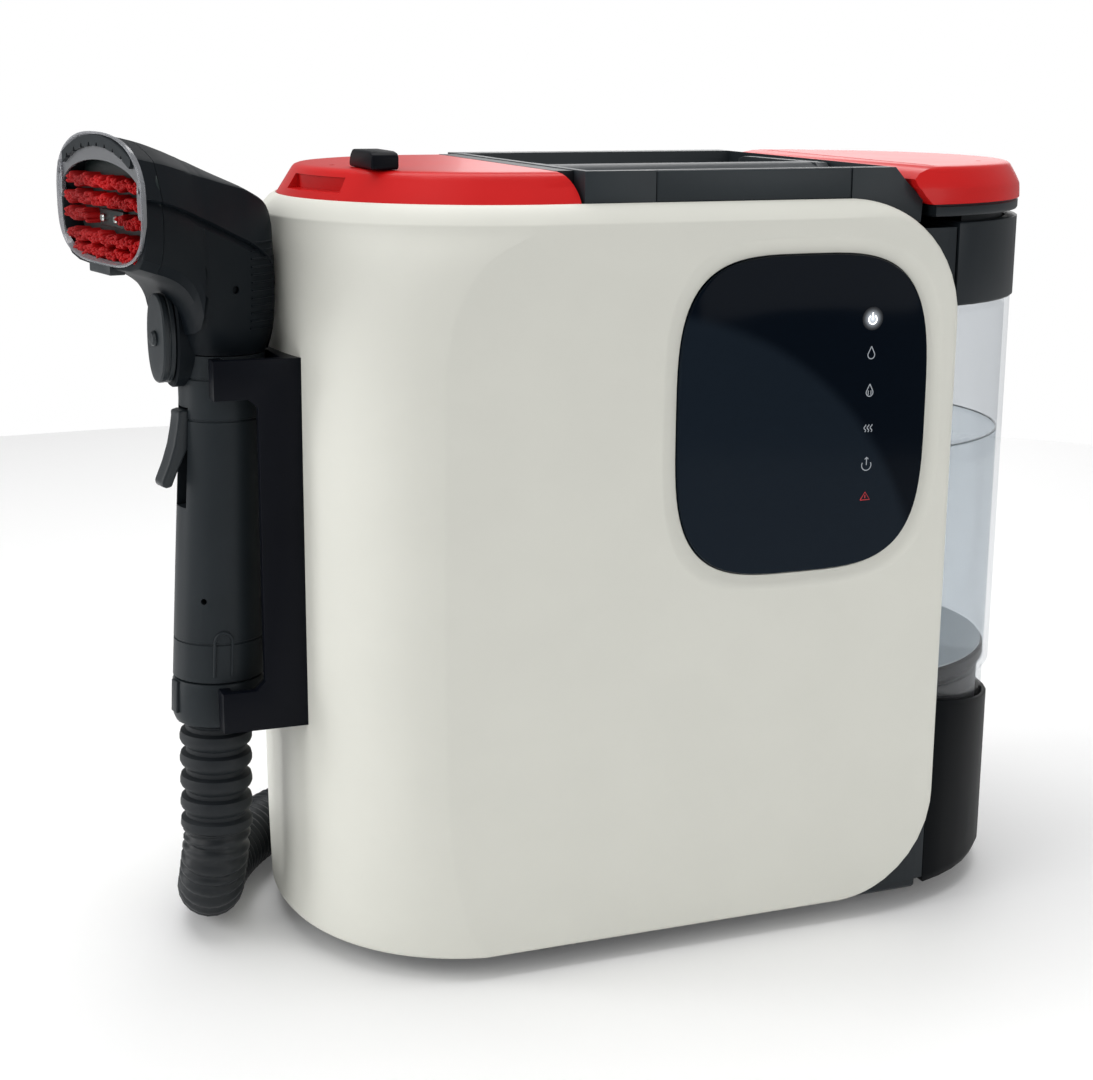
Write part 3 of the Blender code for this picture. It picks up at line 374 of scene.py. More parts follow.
def copy_node(node_name, name=None):
    """The CAD node's shape as one clean mesh, in base-unit coordinates, ready for finer edges."""
    source = frame["nodes"][node_name]
    points = [source.matrix_world @ vertex.co - ORIGIN for vertex in source.data.vertices]
    faces = [tuple(polygon.vertices) for polygon in source.data.polygons]
    item = mesh_item(name or node_name + "_fine", points, faces)
    work = bmesh.new()
    work.from_mesh(item.data)
    bmesh.ops.remove_doubles(work, verts=work.verts, dist=2e-5)
    bmesh.ops.dissolve_limit(work, angle_limit=math.radians(1.0), verts=work.verts, edges=work.edges)
    work.to_mesh(item.data)
    work.free()
    return item


def soften(node_name, width, body, material, segments=3, angle=35, sharp=30):
    item = bevel(copy_node(node_name), width, segments, angle)
    return finish(item, material, body, [node_name], sharp)


# ---------------------------------------------------------------- camera, light and floor
def camera_and_light():
    camera = bpy.data.cameras.new("camera")
    camera.lens, camera.sensor_width = 65.784, 36
    view = bpy.data.objects.new("camera", camera)
    right = Vector((0.93048118, -0.36626032, 0.00762577))
    up = Vector((0.07878776, 0.22040187, 0.97222194))
    forward = Vector((0.35776706, 0.9040334, -0.23393662))
    turn = Matrix((right, up, -forward)).transposed().to_4x4()
    view.matrix_world = Matrix.Translation(Vector((-0.39333, -0.86594, 0.39835)) + ORIGIN) @ turn
    bpy.context.scene.collection.objects.link(view)
    bpy.context.scene.camera = view
    for name, place, size, power, aim in (
            ("key", (-1.65, -0.50, 0.90), (0.9, 1.3), 8.5, (0, 0, 0.16)),
            ("fill", (1.00, -1.75, 0.80), (1.3, 1.3), 8, (0, 0, 0.16)),
            ("top", (0.0, 0.15, 1.9), (1.7, 1.3), 25, (0, 0, 0.16)),
            ("back", (1.15, 1.75, 0.85), (1.2, 1.1), 6.5, (0, 0, 0.30)),
            ("side", (-1.7, 0.6, 0.55), (0.50, 1.3), 10, (-0.1, 0, 0.18))):
        light = bpy.data.lights.new(name, "AREA")
        light.shape, light.size, light.size_y, light.energy = "RECTANGLE", size[0], size[1], power
        item = bpy.data.objects.new(name, light)
        item.location = place
        item.rotation_euler = (Vector(aim) - Vector(place)).to_track_quat("-Z", "Y").to_euler()
        item.visible_camera = False
        bpy.context.scene.collection.objects.link(item)
    world = bpy.data.worlds.new("studio")
    world.use_nodes = True
    tree = world.node_tree
    backdrop = tree.nodes["Background"]
    backdrop.inputs["Color"].default_value = (1, 1, 1, 1)
    path = tree.nodes.new("ShaderNodeLightPath")
    level = tree.nodes.new("ShaderNodeMapRange")   # softer as a light than as a backdrop
    level.inputs["To Min"].default_value = 0.34
    level.inputs["To Max"].default_value = 1.0
    link(tree, path, "Is Camera Ray", level, "Value")
    link(tree, level, "Result", backdrop, "Strength")
    bpy.context.scene.world = world
    bpy.context.scene.view_settings.view_transform = "Standard"
    floor = mesh_item("floor", [(x, y, 0) for x, y in arc(0, 0, FLOOR_R, 0, 354, 59)], [tuple(range(60))])
    material, tree, bsdf = shader("pale_floor")
    bsdf.inputs["Roughness"].default_value = 0.6
    bsdf.inputs["Base Color"].default_value = (0.93, 0.93, 0.93, 1)
    bsdf.inputs["Emission Color"].default_value = (1, 1, 1, 1)
    bsdf.inputs["Emission Strength"].default_value = 0.06
    floor.data.materials.append(material)


camera_and_light()


# ---------------------------------------------------------------- hose
STRAIN_TOP = Vector((-0.21535, -0.0105, 0.1076))
HOSE_Y, LOOP_Z, LOOP_R = 0.1172, 0.1420, 0.1250
PORT = Vector((-0.018, HOSE_Y, 0.0700))
HOSE_ROUTE = [
    (-0.2164, -0.0105, 0.0560), (-0.2176, -0.0090, 0.0400), (-0.2178, -0.0010, 0.0245),
    (-0.2140, 0.0180, 0.0164), (-0.2030, 0.0430, 0.0158), (-0.1860, 0.0680, 0.0158),
    (-0.1640, 0.0900, 0.0158), (-0.1360, 0.1060, 0.0160), (-0.1040, 0.1150, 0.0165),
    (-0.0650, HOSE_Y, 0.0168), (-0.0200, HOSE_Y, 0.0170)]


def hose_route():
    """Down from the tool, back along the floor, one loop over the hooks, into the port."""
    start = Vector(HOSE_ROUTE[0])
    route = [start + (start - STRAIN_TOP).normalized() * 0.006] + [Vector(p) for p in HOSE_ROUTE[1:]]
    for degrees in range(-75, 91, 15):
        angle = math.radians(degrees)
        route.append(Vector((0.035 + LOOP_R * math.cos(angle), HOSE_Y, LOOP_Z + LOOP_R * math.sin(angle))))
    inner = (LOOP_Z + LOOP_R - PORT.z) / 2
    for degrees in range(90, 271, 15):
        angle = math.radians(degrees)
        route.append(Vector((-0.056 + inner * math.cos(angle), HOSE_Y,
                             LOOP_Z + LOOP_R - inner + inner * math.sin(angle))))
    return start, route, PORT + Vector((-0.0284, 0, 0))


def smooth(nodes, steps):
    """Points on a Catmull-Rom curve through the nodes."""
    nodes = [2 * nodes[0] - nodes[1]] + nodes + [2 * nodes[-1] - nodes[-2]]
    out = []
    for a, b, c, d in zip(nodes, nodes[1:], nodes[2:], nodes[3:]):
        for step in range(steps):
            t = step / steps
            out.append(0.5 * (2 * b + (c - a) * t + (2 * a - 5 * b + 4 * c - d) * t * t
                              + (3 * b - a - 3 * c + d) * t ** 3))
    out.append(nodes[-2])
    return out


def resample(points, spacing):
    total = sum((b - a).length for a, b in zip(points, points[1:]))
    count = max(2, round(total / spacing))
    out, walked, step = [points[0].copy()], 0.0, total / count
    for a, b in zip(points, points[1:]):
        length = (b - a).length
        while length > 0 and walked + length >= step * len(out) - 1e-9 and len(out) < count:
            out.append(a.lerp(b, (step * len(out) - walked) / length))
        walked += length
    out.append(points[-1].copy())
    return out, total


def tube_frames(points):
    """Direction and two steady cross directions at each point."""
    frames, across = [], None
    for i, point in enumerate(points):
        ahead = (points[min(i + 1, len(points) - 1)] - points[max(i - 1, 0)]).normalized()
        if across is None:
            across = ahead.orthogonal().normalized()
        across = (across - ahead * across.dot(ahead)).normalized()
        frames.append((ahead, across, ahead.cross(across)))
    return frames


def hose():
    start, route, end = hose_route()
    line = [start] + smooth(route, 12) + [end]
    points, length = resample(line, 0.00105)
    frames = tube_frames(points)
    steps, pitch, depth = 22, 0.0052, 0.0017
    rows = []
    for i, (point, (ahead, across, third)) in enumerate(zip(points, frames)):
        along = length * i / (len(points) - 1)
        row = []
        for k in range(steps):
            angle = 2 * math.pi * k / steps
            wave = math.cos(2 * math.pi * along / pitch - angle)
            radius = HOSE_R - 0.0001 - depth * (0.5 - 0.5 * wave) ** 1.4
            row.append(point + (across * math.cos(angle) + third * math.sin(angle)) * radius)
        rows.append(row)
    item = loft("hose_ribbed", rows)
    item.data.materials.append(HOSE_SKIN)
    item.data.shade_smooth()
    item.location += ORIGIN
    bpy.context.view_layer.update()
    item.data.transform(item.matrix_world)
    item.matrix_world = Matrix.Identity(4)
    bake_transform(item)
    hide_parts("hose")
    path, _ = resample(line, 0.010)


hose()


# ---------------------------------------------------------------- white shells
CREASE = [(0.000, -0.1120), (0.010, -0.1150), (0.020, -0.1215), (0.040, -0.1290), (0.075, -0.1335),
          (0.160, -0.1346), (0.240, -0.1342), (0.275, -0.1332), (0.291, -0.1312), (0.303, -0.1262),
          (0.315, -0.1185), (0.325, -0.1040), (0.3305, -0.0885), (0.345, -0.0875)]
TOP_BAND, TOP_INSET = 0.008, 0.0077   # the sloping band along the top edge
EDGE_ROUND = 0.0030


def crease_x(z):
    samples = np.linspace(z - 0.004, z + 0.004, 9)
    return float(np.mean(np.interp(samples, [c[0] for c in CREASE], [c[1] for c in CREASE])))


def end_curve(z, steps=96):
    """Plan of the round end from the front panel's crease to the leftmost point."""
    xc = crease_x(z)
    t = min(1.0, max(0.0, (LEFT_X - xc) / 0.0470))
    slope = math.radians(15.0) * t ** 0.6
    first, last = 0.0536 - 0.0216 * t, 0.0536 + 0.0030 * t
    p0 = Vector((xc, -BODY_R))
    p1 = p0 + first * Vector((-math.cos(slope), math.sin(slope)))
    p3 = Vector((LEFT_X - BODY_R, 0.0))
    p2 = p3 + Vector((0, -last))
    out = []
    for i in range(steps + 1):
        s = i / steps
        out.append((1 - s) ** 3 * p0 + 3 * (1 - s) ** 2 * s * p1 + 3 * (1 - s) * s * s * p2 + s ** 3 * p3)
    return out


def edge_x(z):
    """Right edge of the panel, with its rounded corners."""
    zc = SHELL_TOP - TOP_CORNER_R
    if z > zc:
        return SHELL_EDGE_X - TOP_CORNER_R + math.sqrt(max(0.0, TOP_CORNER_R ** 2 - (z - zc) ** 2))
    zc = SHELL_LOW + LOW_CORNER_R
    if z < zc:
        return SHELL_EDGE_X - LOW_CORNER_R + math.sqrt(max(0.0, LOW_CORNER_R ** 2 - (z - zc) ** 2))
    return SHELL_EDGE_X


def edge_inset(x, z):
    """How far the surface lies inside the full outline, from its rounded edges."""
    zt, xt = SHELL_TOP - TOP_CORNER_R, SHELL_EDGE_X - TOP_CORNER_R
    zb, xb = SHELL_LOW + LOW_CORNER_R, SHELL_EDGE_X - LOW_CORNER_R
    if x > xt and z > zt:
        distance = TOP_CORNER_R - math.hypot(x - xt, z - zt)
        angle = math.degrees(math.atan2(z - zt, x - xt))
        mix = min(1.0, max(0.0, (angle - 35) / 50)) ** 2
    elif x > xb and z < zb:
        distance, mix = LOW_CORNER_R - math.hypot(x - xb, z - zb), 0.0
    elif z > 0.300:
        distance, mix = SHELL_TOP - z, 1.0
        if x > xt:
            distance, mix = min(SHELL_TOP - z, SHELL_EDGE_X - x), 1.0
    else:
        distance, mix = min(SHELL_EDGE_X - x, z - SHELL_LOW), 0.0
    reach = EDGE_ROUND + (TOP_BAND - EDGE_ROUND) * mix
    depth = EDGE_ROUND + (TOP_INSET - EDGE_ROUND) * mix
    t = min(1.0, max(0.0, 1 - distance / reach))
    return depth * (0.55 * mix * t + (1 - 0.55 * mix) * (1 - math.sqrt(max(0.0, 1 - t * t))))


def shell_rows():
    low = [0.0100, 0.0103, 0.0108, 0.0115, 0.0123, 0.0131, 0.0150, 0.0180, 0.0230, 0.0290, 0.0360,
           0.0450, 0.0540, 0.0600, 0.0700]
    middle = list(np.linspace(0.085, 0.270, 13))
    high = [0.2780, 0.2850, 0.2920, 0.2990, 0.3060, 0.3120, 0.3180, 0.3230, 0.3270, 0.3300, 0.3314,
            0.3320, 0.3325, 0.3336, 0.3348, 0.3360, 0.3371, 0.3381, 0.3389, 0.3395, 0.3399, 0.3400]
    return low + middle + high


def walk(line, fractions):
    """Points at fractions of the length of a polyline, with outward normals."""
    line = [Vector(p) for p in line]
    steps = [0.0]
    for a, b in zip(line, line[1:]):
        steps.append(steps[-1] + (b - a).length)
    out = []
    for fraction in fractions:
        target = fraction * steps[-1]
        i = min(max(int(np.searchsorted(steps, target)) - 1, 0), len(line) - 2)
        span = max(steps[i + 1] - steps[i], 1e-12)
        point = line[i].lerp(line[i + 1], (target - steps[i]) / span)
        ahead = (line[i + 1] - line[i]).normalized()
        out.append((point, Vector((-ahead.y, ahead.x))))
    return out


def panel_row(z, rear):
    """Plan points with outward normals at one height; front or rear shell, right edge first."""
    curve = end_curve(z)
    xc, xe = crease_x(z), edge_x(z)
    out = []
    for offset in (0.0, 0.0003, 0.0008, 0.0014, 0.0021, 0.0029, 0.0040, 0.0060, 0.0090, 0.0130):
        out.append((Vector((xe - offset, -BODY_R)), Vector((0, -1))))
    for i in range(1, 27):
        x = xe - 0.0130 + (xc + 0.0012 - xe + 0.0130) * i / 26
        out.append((Vector((x, -BODY_R)), Vector((0, -1))))
    ys = [p.y for p in curve]
    seam = float(np.interp(-SEAM_Y, ys, range(len(ys))))
    whole, part = int(seam), seam - int(seam)
    at_seam = curve[whole].lerp(curve[whole + 1], part)
    mirrored = [Vector((p.x, -p.y)) for p in reversed(curve)]
    if rear:
        line = curve[:whole + 1] + [at_seam]
        fractions = [0, 0.016, 0.035] + [0.035 + 0.965 * i / 20 for i in range(1, 21)]
    else:
        line = curve + [p for p in mirrored[1:] if p.y < SEAM_Y - 0.0005] + [Vector((at_seam.x, SEAM_Y))]
        fractions = [0, 0.008, 0.018] + [0.018 + 0.982 * i / 48 for i in range(1, 49)]
    points = walk(line, fractions)
    normal = points[1][1]
    points[0] = (points[0][0], (normal + Vector((0, -1))).normalized())
    out += points
    if rear:
        out = [(Vector((p.x, -p.y)), Vector((n.x, -n.y))) for p, n in out]
    return out


def shell(name, rear):
    rows = shell_rows()
    outer, inner = [], []
    for z in rows:
        top = max(0.0, (z - 0.3300) / 0.0100)
        line = panel_row(z, rear)
        outer_row, inner_row = [], []
        for point, normal in line:
            inset = edge_inset(point.x if point.x > 0 else 0.0, z)
            deep = min(max(inset + WALL, WALL), 0.0083) if z > 0.3 else max(inset, 0.0) + WALL
            a, b = point - normal * inset, point - normal * deep
            outer_row.append((a.x, a.y, z))
            inner_row.append((b.x, b.y, z - 0.0018 * top))
        outer.append(outer_row)
        inner.append(inner_row)
    count = len(outer[0])
    points = [p for row in outer + inner for p in row]
    half = len(rows) * count
    faces = []
    for r in range(len(rows) - 1):
        for c in range(count - 1):
            a, b = r * count + c, r * count + c + 1
            faces.append((a, b, b + count, a + count))
            faces.append((half + a, half + b, half + b + count, half + a + count))
        for c in (0, count - 1):
            a = r * count + c
            faces.append((a, a + count, half + a + count, half + a))
    for c in range(count - 1):
        for r in (0, len(rows) - 1):
            a = r * count + c
            faces.append((a, a + 1, half + a + 1, half + a))
    return mesh_item(name, points, faces)


RING_WIDTH = 0.0078          # dished surround of the display
CUT_Y = 0.08                 # cuts in the rear shell start inside it and run out through it
PORT_XZ, PORT_HOLE = (-0.018, 0.07), 0.0225
GLAND_XZ, GLAND_HOLE = (0.085, 0.075), 0.0085
SCREW_XZ, SCREW_HOLE = ((-0.070, 0.308), (0.075, 0.308)), 0.0034
HOOK_X, HOOK_Z, HOOK_HALF = (-0.040, 0.050), 0.2433, 0.0063
VENT_LOW, VENT_HIGH = (-0.0303, 0.1697), (0.0503, 0.2143)


def display_line(margin, steps=96):
    return [(DISPLAY[0] + a, DISPLAY[1] + b)
            for a, b in squircle(DISPLAY_HALF[0] + margin, DISPLAY_HALF[1] + margin, steps)]


def stack(plan, rows):
    """Level loops from a plan function of the inset, at (inset, z) rows."""
    return [[(x, y, z) for x, y in plan(inset)] for inset, z in rows]


def prism(name, line, low, high):
    return loft(name, [[(x, y, z) for x, z in line] for y in (low, high)])


def drill(place, radius, steps=32):
    """A rod that cuts a round hole through the rear shell at (x, z)."""
    return turned("t", (place[0], CUT_Y, place[1]), (0, 1, 0), [(radius, 0), (radius, 0.04)], steps)


def shells():
    front = shell("front_shell_fine", False)
    cut(front, prism("opening", display_line(RING_WIDTH), -0.12, -0.08))
    finish(front, WHITE, "base_unit", ["front_shell"], 40)
    # dished surround between the flat panel and the display
    profile = [(RING_WIDTH, -0.09420), (RING_WIDTH, -0.09700), (RING_WIDTH - 0.0006, -0.09692)]
    for i in range(1, 9):
        t = i / 8
        profile.append((RING_WIDTH - 0.0006 - (RING_WIDTH - 0.0012) * t,
                        -0.09692 + 0.0021 * math.sin(t * math.pi / 2) ** 1.2))
    profile += [(0.0006, -0.0938), (0.0020, -0.0930)]
    loops = [[(x, y, z) for x, z in display_line(margin)] for margin, y in profile]
    finish(loft("display_surround", loops, ring=True), WHITE, "base_unit", (), 50)
    rear = shell("rear_shell_fine", True)
    cut(rear, drill(PORT_XZ, PORT_HOLE))
    cut(rear, drill(GLAND_XZ, GLAND_HOLE))
    cut(rear, box("t", (VENT_LOW[0], CUT_Y, VENT_LOW[1]), (VENT_HIGH[0], 0.11, VENT_HIGH[1])))
    for place in SCREW_XZ:
        cut(rear, drill(place, SCREW_HOLE, 20))
    for x in HOOK_X:
        cut(rear, box("t", (x - HOOK_HALF, CUT_Y, HOOK_Z - HOOK_HALF),
                      (x + HOOK_HALF, 0.11, HOOK_Z + HOOK_HALF)))
    finish(rear, WHITE, "base_unit", ["rear_shell"], 40)


shells()


# ---------------------------------------------------------------- display and its icons
GLASS_Y = -0.0967
ICON_X = 0.0657              # the icons stand in one column


def display():
    loops = []
    for margin, y in ((0.0, -0.0937), (0.0, -0.0960), (-0.0003, -0.0965), (-0.0010, GLASS_Y),
                      (-0.0300, GLASS_Y - 0.0003)):
        loops.append([(x, y, z) for x, z in display_line(margin)])
    finish(loft("display_panel", loops), GLASS_WITH_PAINTED_REFLECTION, "base_unit", ["display_glass"], 40)


def stroke(name, lines, material, width=0.00042):
    """Thin printed lines on the display: each line is a flat ribbon along (x, z) points."""
    points, faces = [], []
    for line in lines:
        base = len(points)
        line = [Vector(p) for p in line]
        for i, p in enumerate(line):
            ahead = (line[min(i + 1, len(line) - 1)] - line[max(i - 1, 0)]).normalized()
            side = Vector((-ahead.y, ahead.x)) * width / 2
            for q in (p + side, p - side):
                points.append((q.x, GLASS_Y - 0.00042, q.y))
        for i in range(len(line) - 1):
            a = base + 2 * i
            faces.append((a, a + 1, a + 3, a + 2))
    item = mesh_item(name, points, faces)
    return finish(item, material, "base_unit")


def ring_line(cx, cz, radius, start=0, end=360, steps=28, squash=1.0):
    return [(x, cz + (z - cz) * squash) for x, z in arc(cx, cz, radius, start, end, steps)]


def drop_line(cx, cz, size):
    top = (cx, cz + 1.35 * size)
    round_part = arc(cx, cz - 0.25 * size, 0.72 * size, 150, 390, 18)
    return [top] + round_part + [top]


def icons():
    x = ICON_X
    stroke("icon_power", [ring_line(x, 0.2874, 0.0020, 125, 415), [(x, 0.2905), (x, 0.2876)]],
           ICON_ON, 0.0006)
    stroke("icon_drop", [drop_line(x, 0.2722, 0.0024)], ICON)
    stroke("icon_hot_drop", [drop_line(x, 0.2553, 0.0024), [(x - 0.0007, 0.2536), (x - 0.0007, 0.2556)],
                             [(x + 0.0007, 0.2536), (x + 0.0007, 0.2556)]], ICON)
    waves = []
    for dx in (-0.0016, 0.0, 0.0016):
        waves.append([(x + dx + 0.0005 * math.sin(i * 1.05), 0.2368 + 0.0034 * i / 8) for i in range(9)])
    stroke("icon_steam", waves, ICON)
    stroke("icon_function", [ring_line(x, 0.2216, 0.0024, 150, 390), [(x, 0.2216), (x, 0.2252)],
                             [(x - 0.0009, 0.2243), (x, 0.2252), (x + 0.0009, 0.2243)]], ICON)
    left, right = (x - 0.0024, 0.2056), (x + 0.0024, 0.2056)
    stroke("icon_warning", [[left, (x, 0.2092), right, left], [(x, 0.2063), (x, 0.2079)]], ICON_RED)
    material, tree, bsdf = shader("icon_glow")
    bsdf.inputs["Base Color"].default_value = (0.01, 0.012, 0.016, 1)
    bsdf.inputs["Roughness"].default_value = 0.12
    coords = tree.nodes.new("ShaderNodeTexCoord")
    ball = tree.nodes.new("ShaderNodeTexGradient")
    ball.gradient_type = "QUADRATIC_SPHERE"
    link(tree, coords, "Object", ball, "Vector")
    strength = tree.nodes.new("ShaderNodeMapRange")
    strength.inputs["To Max"].default_value = 1.3
    link(tree, ball, "Fac", strength, "Value")
    bsdf.inputs["Emission Color"].default_value = (0.85, 0.92, 1.0, 1)
    link(tree, strength, "Result", bsdf, "Emission Strength")
    disc = mesh_item("icon_halo", [(a, 0, b) for a, b in arc(0, 0, 1.0, 0, 352.5, 47)], [tuple(range(48))])
    disc.scale = (0.0052, 0.0052, 0.0052)
    disc.location = (x, GLASS_Y - 0.00036, 0.2878)
    finish(disc, material, "base_unit")


display()
icons()


# ---------------------------------------------------------------- deck and carry handle
# the deck parts take the black with painted light, the tank seat the black with painted shade
for node_name, width, body, material, segments in (
        ("deck_frame", 0.0013, "base_unit", DECK_PAINTED_LIGHT, 3), ("deck_trim_front", 0.0009, "base_unit", DECK_PAINTED_LIGHT, 3),
        ("deck_trim_rear", 0.0009, "base_unit", DECK_PAINTED_LIGHT, 3), ("carry_handle", 0.0012, "handle", SATIN, 3),
        ("tank_collar", 0.0006, "clean_tank", BLACK, 2), ("tank_seat", 0.0008, "base_unit", SEAT_PAINTED_SHADE, 2),
        ("tool_cradle", 0.0007, "base_unit", DEEP, 2), ("hose_port", 0.0006, "base_unit", BLACK, 2),
        ("hose_hooks", 0.0012, "base_unit", BLACK, 2), ("vent_grille", 0.0005, "base_unit", BLACK, 2),
        ("base_tray", 0.0006, "base_unit", BLACK, 2)):
    soften(node_name, width, body, material, segments)


# ---------------------------------------------------------------- lids
def left_plan(inset, edge, steps=48):
    r = BODY_R - inset
    return [(edge, r)] + arc(LEFT_X, 0, r, 90, 270, steps) + [(edge, -r)]


def right_plan(radius, edge, steps=48):
    if edge <= RIGHT_X:
        return [(edge, -radius)] + arc(RIGHT_X, 0, radius, -90, 90, steps) + [(edge, radius)]
    half = math.degrees(math.acos((edge - RIGHT_X) / radius))
    return arc(RIGHT_X, 0, radius, -half, half, steps + 2)


def lid_edge(z):
    """Right end of the left lid, rounded over towards the top."""
    t = max(0.0, (z - 0.3400) / (DECK_TOP - 0.3400))
    return -0.0712 - 0.0100 * (1 - math.sqrt(max(0.0, 1 - t * t)))


def left_lid():
    profile = [(0.0086, 0.3380), (0.0082, 0.3384), (0.0082, 0.3400)]
    for i in range(1, 8):
        t = i / 7
        profile.append((0.0082 + 0.0070 * t, 0.3400 + 0.0110 * t))
    profile += [(0.0162, 0.3520), (0.0178, 0.3526), (0.0200, 0.3528), (0.0300, 0.3529)]
    loops = [[(x, y, z) for x, y in left_plan(inset, lid_edge(min(z, 0.3526)))] for inset, z in profile]
    lid = loft("dirty_lid_fine", loops)
    # finger recess in the sloping front face, towards its round end
    start, end = 181, 210
    rings = []
    for radius, low, high in ((BODY_R - 0.002, 0.3424, 0.3502), (BODY_R - 0.0155, 0.3432, 0.3492)):
        lower = arc(LEFT_X, 0, radius, start, end, 12)
        rings.append([(x, y, low) for x, y in lower] + [(x, y, high) for x, y in reversed(lower)])
    cut(lid, loft("recess", rings))
    cut(lid, turned("dot", (-0.1555, -0.0069, 0.3516), (0, 0, 1), [(0.0013, 0), (0.0013, 0.01)], 16))
    bevel(lid, 0.0007, 2, 40)
    finish(lid, RED, "dirty_lid", ["dirty_tank_lid"], 28)
    rows = []
    for z in [0.3380] + list(np.linspace(0.3400, DECK_TOP - 0.0003, 10)):
        rows.append([(lid_edge(z) + 0.0005, -0.0765, z), (-0.0701, -0.0765, z),
                     (-0.0701, 0.0765, z), (lid_edge(z) + 0.0005, 0.0765, z)])
    finish(loft("dirty_lid_frame_fine", rows), BLACK, "dirty_lid", ["dirty_lid_frame"], 40)
    outline = [(-0.0555, 0.3531), (-0.0215, 0.3531), (-0.0215, 0.3552), (-0.0232, 0.3585), (-0.0262, 0.3606),
               (-0.0500, 0.3606), (-0.0540, 0.3600), (-0.0555, 0.3585)]
    rows = [[(x, y, z) for y, z in outline] for x in (-0.1520, -0.1400)]
    latch = loft("lid_latch_fine", rows)
    finish(bevel(latch, 0.0016, 4, 25), DEEP, "latch", ["lid_latch"], 30)


def right_lid():
    def edge(z):
        """Left edge of the lid: a prow that juts out at mid height."""
        knots = [(0.3370, 0.0952), (0.3395, 0.0920), (0.3430, 0.0895), (0.3462, 0.0862), (0.3485, 0.0868),
                 (0.3510, 0.0905), (0.3525, 0.0955), (0.3533, 0.1010)]
        return float(np.interp(z, [k[0] for k in knots], [k[1] for k in knots]))
    profile = [(0.0947, 0.3369), (0.0947, 0.3380), (0.0946, 0.3405), (0.0944, 0.3430)]
    profile += [(0.0938, 0.3446), (0.0920, 0.3480), (0.0905, 0.3505), (0.0896, 0.3520), (0.0884, 0.3529),
                (0.0868, 0.3533), (0.0780, 0.3534)]
    loops = [[(x, y, z) for x, y in right_plan(radius, edge(z) + (0.0003 if z < 0.3533 else 0.002))]
             for radius, z in profile]
    lid = loft("clean_lid_fine", loops)
    cut(lid, turned("dot", (0.1474, -0.0491, 0.3522), (0, 0, 1), [(0.0013, 0), (0.0013, 0.01)], 16))
    finish(lid, RED, "clean_lid", ["clean_tank_lid"], 24)
    loops = [[(x, y, z) for x, y in right_plan(radius, 0.0976 + grow)] for radius, z, grow in (
        (0.0925, 0.3313, 0.0010), (0.0936, 0.3316, 0.0003), (0.0941, 0.3324, 0.0), (0.0941, 0.3356, 0.0),
        (0.0936, 0.3362, 0.0), (0.0936, 0.3366, 0.0))]
    finish(loft("tank_lid_band_fine", loops), BLACK, "clean_lid", ["tank_lid_band"], 35)
    loops = [[(x, y, z) for x, y in right_plan(0.0872, 0.1180)] for z in (0.3248, 0.3340)]
    finish(loft("lid_plug", loops), BLACK, "clean_lid", (), 35)


left_lid()
right_lid()


# ---------------------------------------------------------------- clean tank and its water
def clean_tank():
    def plan(inset):
        return right_plan(CORE_R - inset, 0.1125 + inset)
    levels = [(0.0060, 0.0505), (0.0040, 0.0512), (0.0034, 0.0530), (0.0030, 0.0800), (0.0030, 0.1070),
              (0.0022, 0.1082), (0.0004, 0.1100), (0.0004, 0.2860), (0.0004, 0.2907), (0.0052, 0.2907),
              (0.0052, 0.3240), (0.0074, 0.3240), (0.0074, 0.2885), (0.0028, 0.2870), (0.0028, 0.1106),
              (0.0054, 0.1080), (0.0054, 0.0560), (0.0080, 0.0535)]
    finish(loft("clean_tank_fine", stack(plan, levels)), CLEAR, "clean_tank",
           ["clean_tank_body"], 35)
    # dark foot of the tank, seen above the seat's rim
    foot = ((0.0058, 0.0700), (0.0058, 0.1075), (0.0033, 0.1112), (0.0033, 0.1158), (0.0040, 0.1168),
            (0.0200, 0.1170))
    finish(loft("clean_tank_foot", stack(plan, foot)), DEEP, "clean_tank")
    finish(loft("clean_tank_floor", stack(plan, ((0.0046, 0.1171), (0.0046, 0.1176)))), PALE, "clean_tank")
    water = ((0.0042, 0.1178), (0.0032, 0.1186), (0.0031, WATER_Z - 0.0012), (0.0030, WATER_Z),
             (0.0046, WATER_Z - 0.0008), (0.0200, WATER_Z - 0.0010))
    finish(loft("clean_water", stack(plan, water)), WATER, "clean_tank", (), 40)
    rim = ((0.0029, WATER_Z + 0.0002), (0.0029, WATER_Z + 0.0009), (0.0037, WATER_Z + 0.0009),
           (0.0037, WATER_Z + 0.0002))
    finish(loft("water_rim", stack(plan, rim), ring=True), WATER_RIM, "clean_tank", (), 40)


clean_tank()


# ---------------------------------------------------------------- hand tool
FORWARD = Vector((-math.cos(TOOL_TURN), -math.sin(TOOL_TURN), 0))
SIDE = Vector((-math.sin(TOOL_TURN), math.cos(TOOL_TURN), 0))
LEAN = (TOOL_TOP.x - TOOL_LOW.x) / (TOOL_TOP.z - TOOL_LOW.z)


def tool(u, w, z):
    """u towards the nozzle, w across (away from the viewer's side), z height."""
    x = TOOL_TOP.x + LEAN * (min(z, TOOL_TOP.z) - TOOL_TOP.z)
    return Vector((x, TOOL_TOP.y, z)) + FORWARD * u + SIDE * w


def turns(steps):
    return [2 * math.pi * i / steps for i in range(steps)]


def grip_ring(radius, z, steps=56):
    return [tool(radius * math.cos(t), radius * math.sin(t), z) for t in turns(steps)]


def pushed(outline, low, high, along="u"):
    """An outline in the tool's frame, pushed along the axis that it leaves out."""
    if along == "u":
        return [[tool(u, w, z) for w, z in outline] for u in (low, high)]
    if along == "w":
        return [[tool(u, w, z) for u, z in outline] for w in (low, high)]
    return [[tool(u, w, z) for u, w in outline] for z in (low, high)]


def rectangle(a0, a1, b0, b1):
    return ((a0, b0), (a1, b0), (a1, b1), (a0, b1))


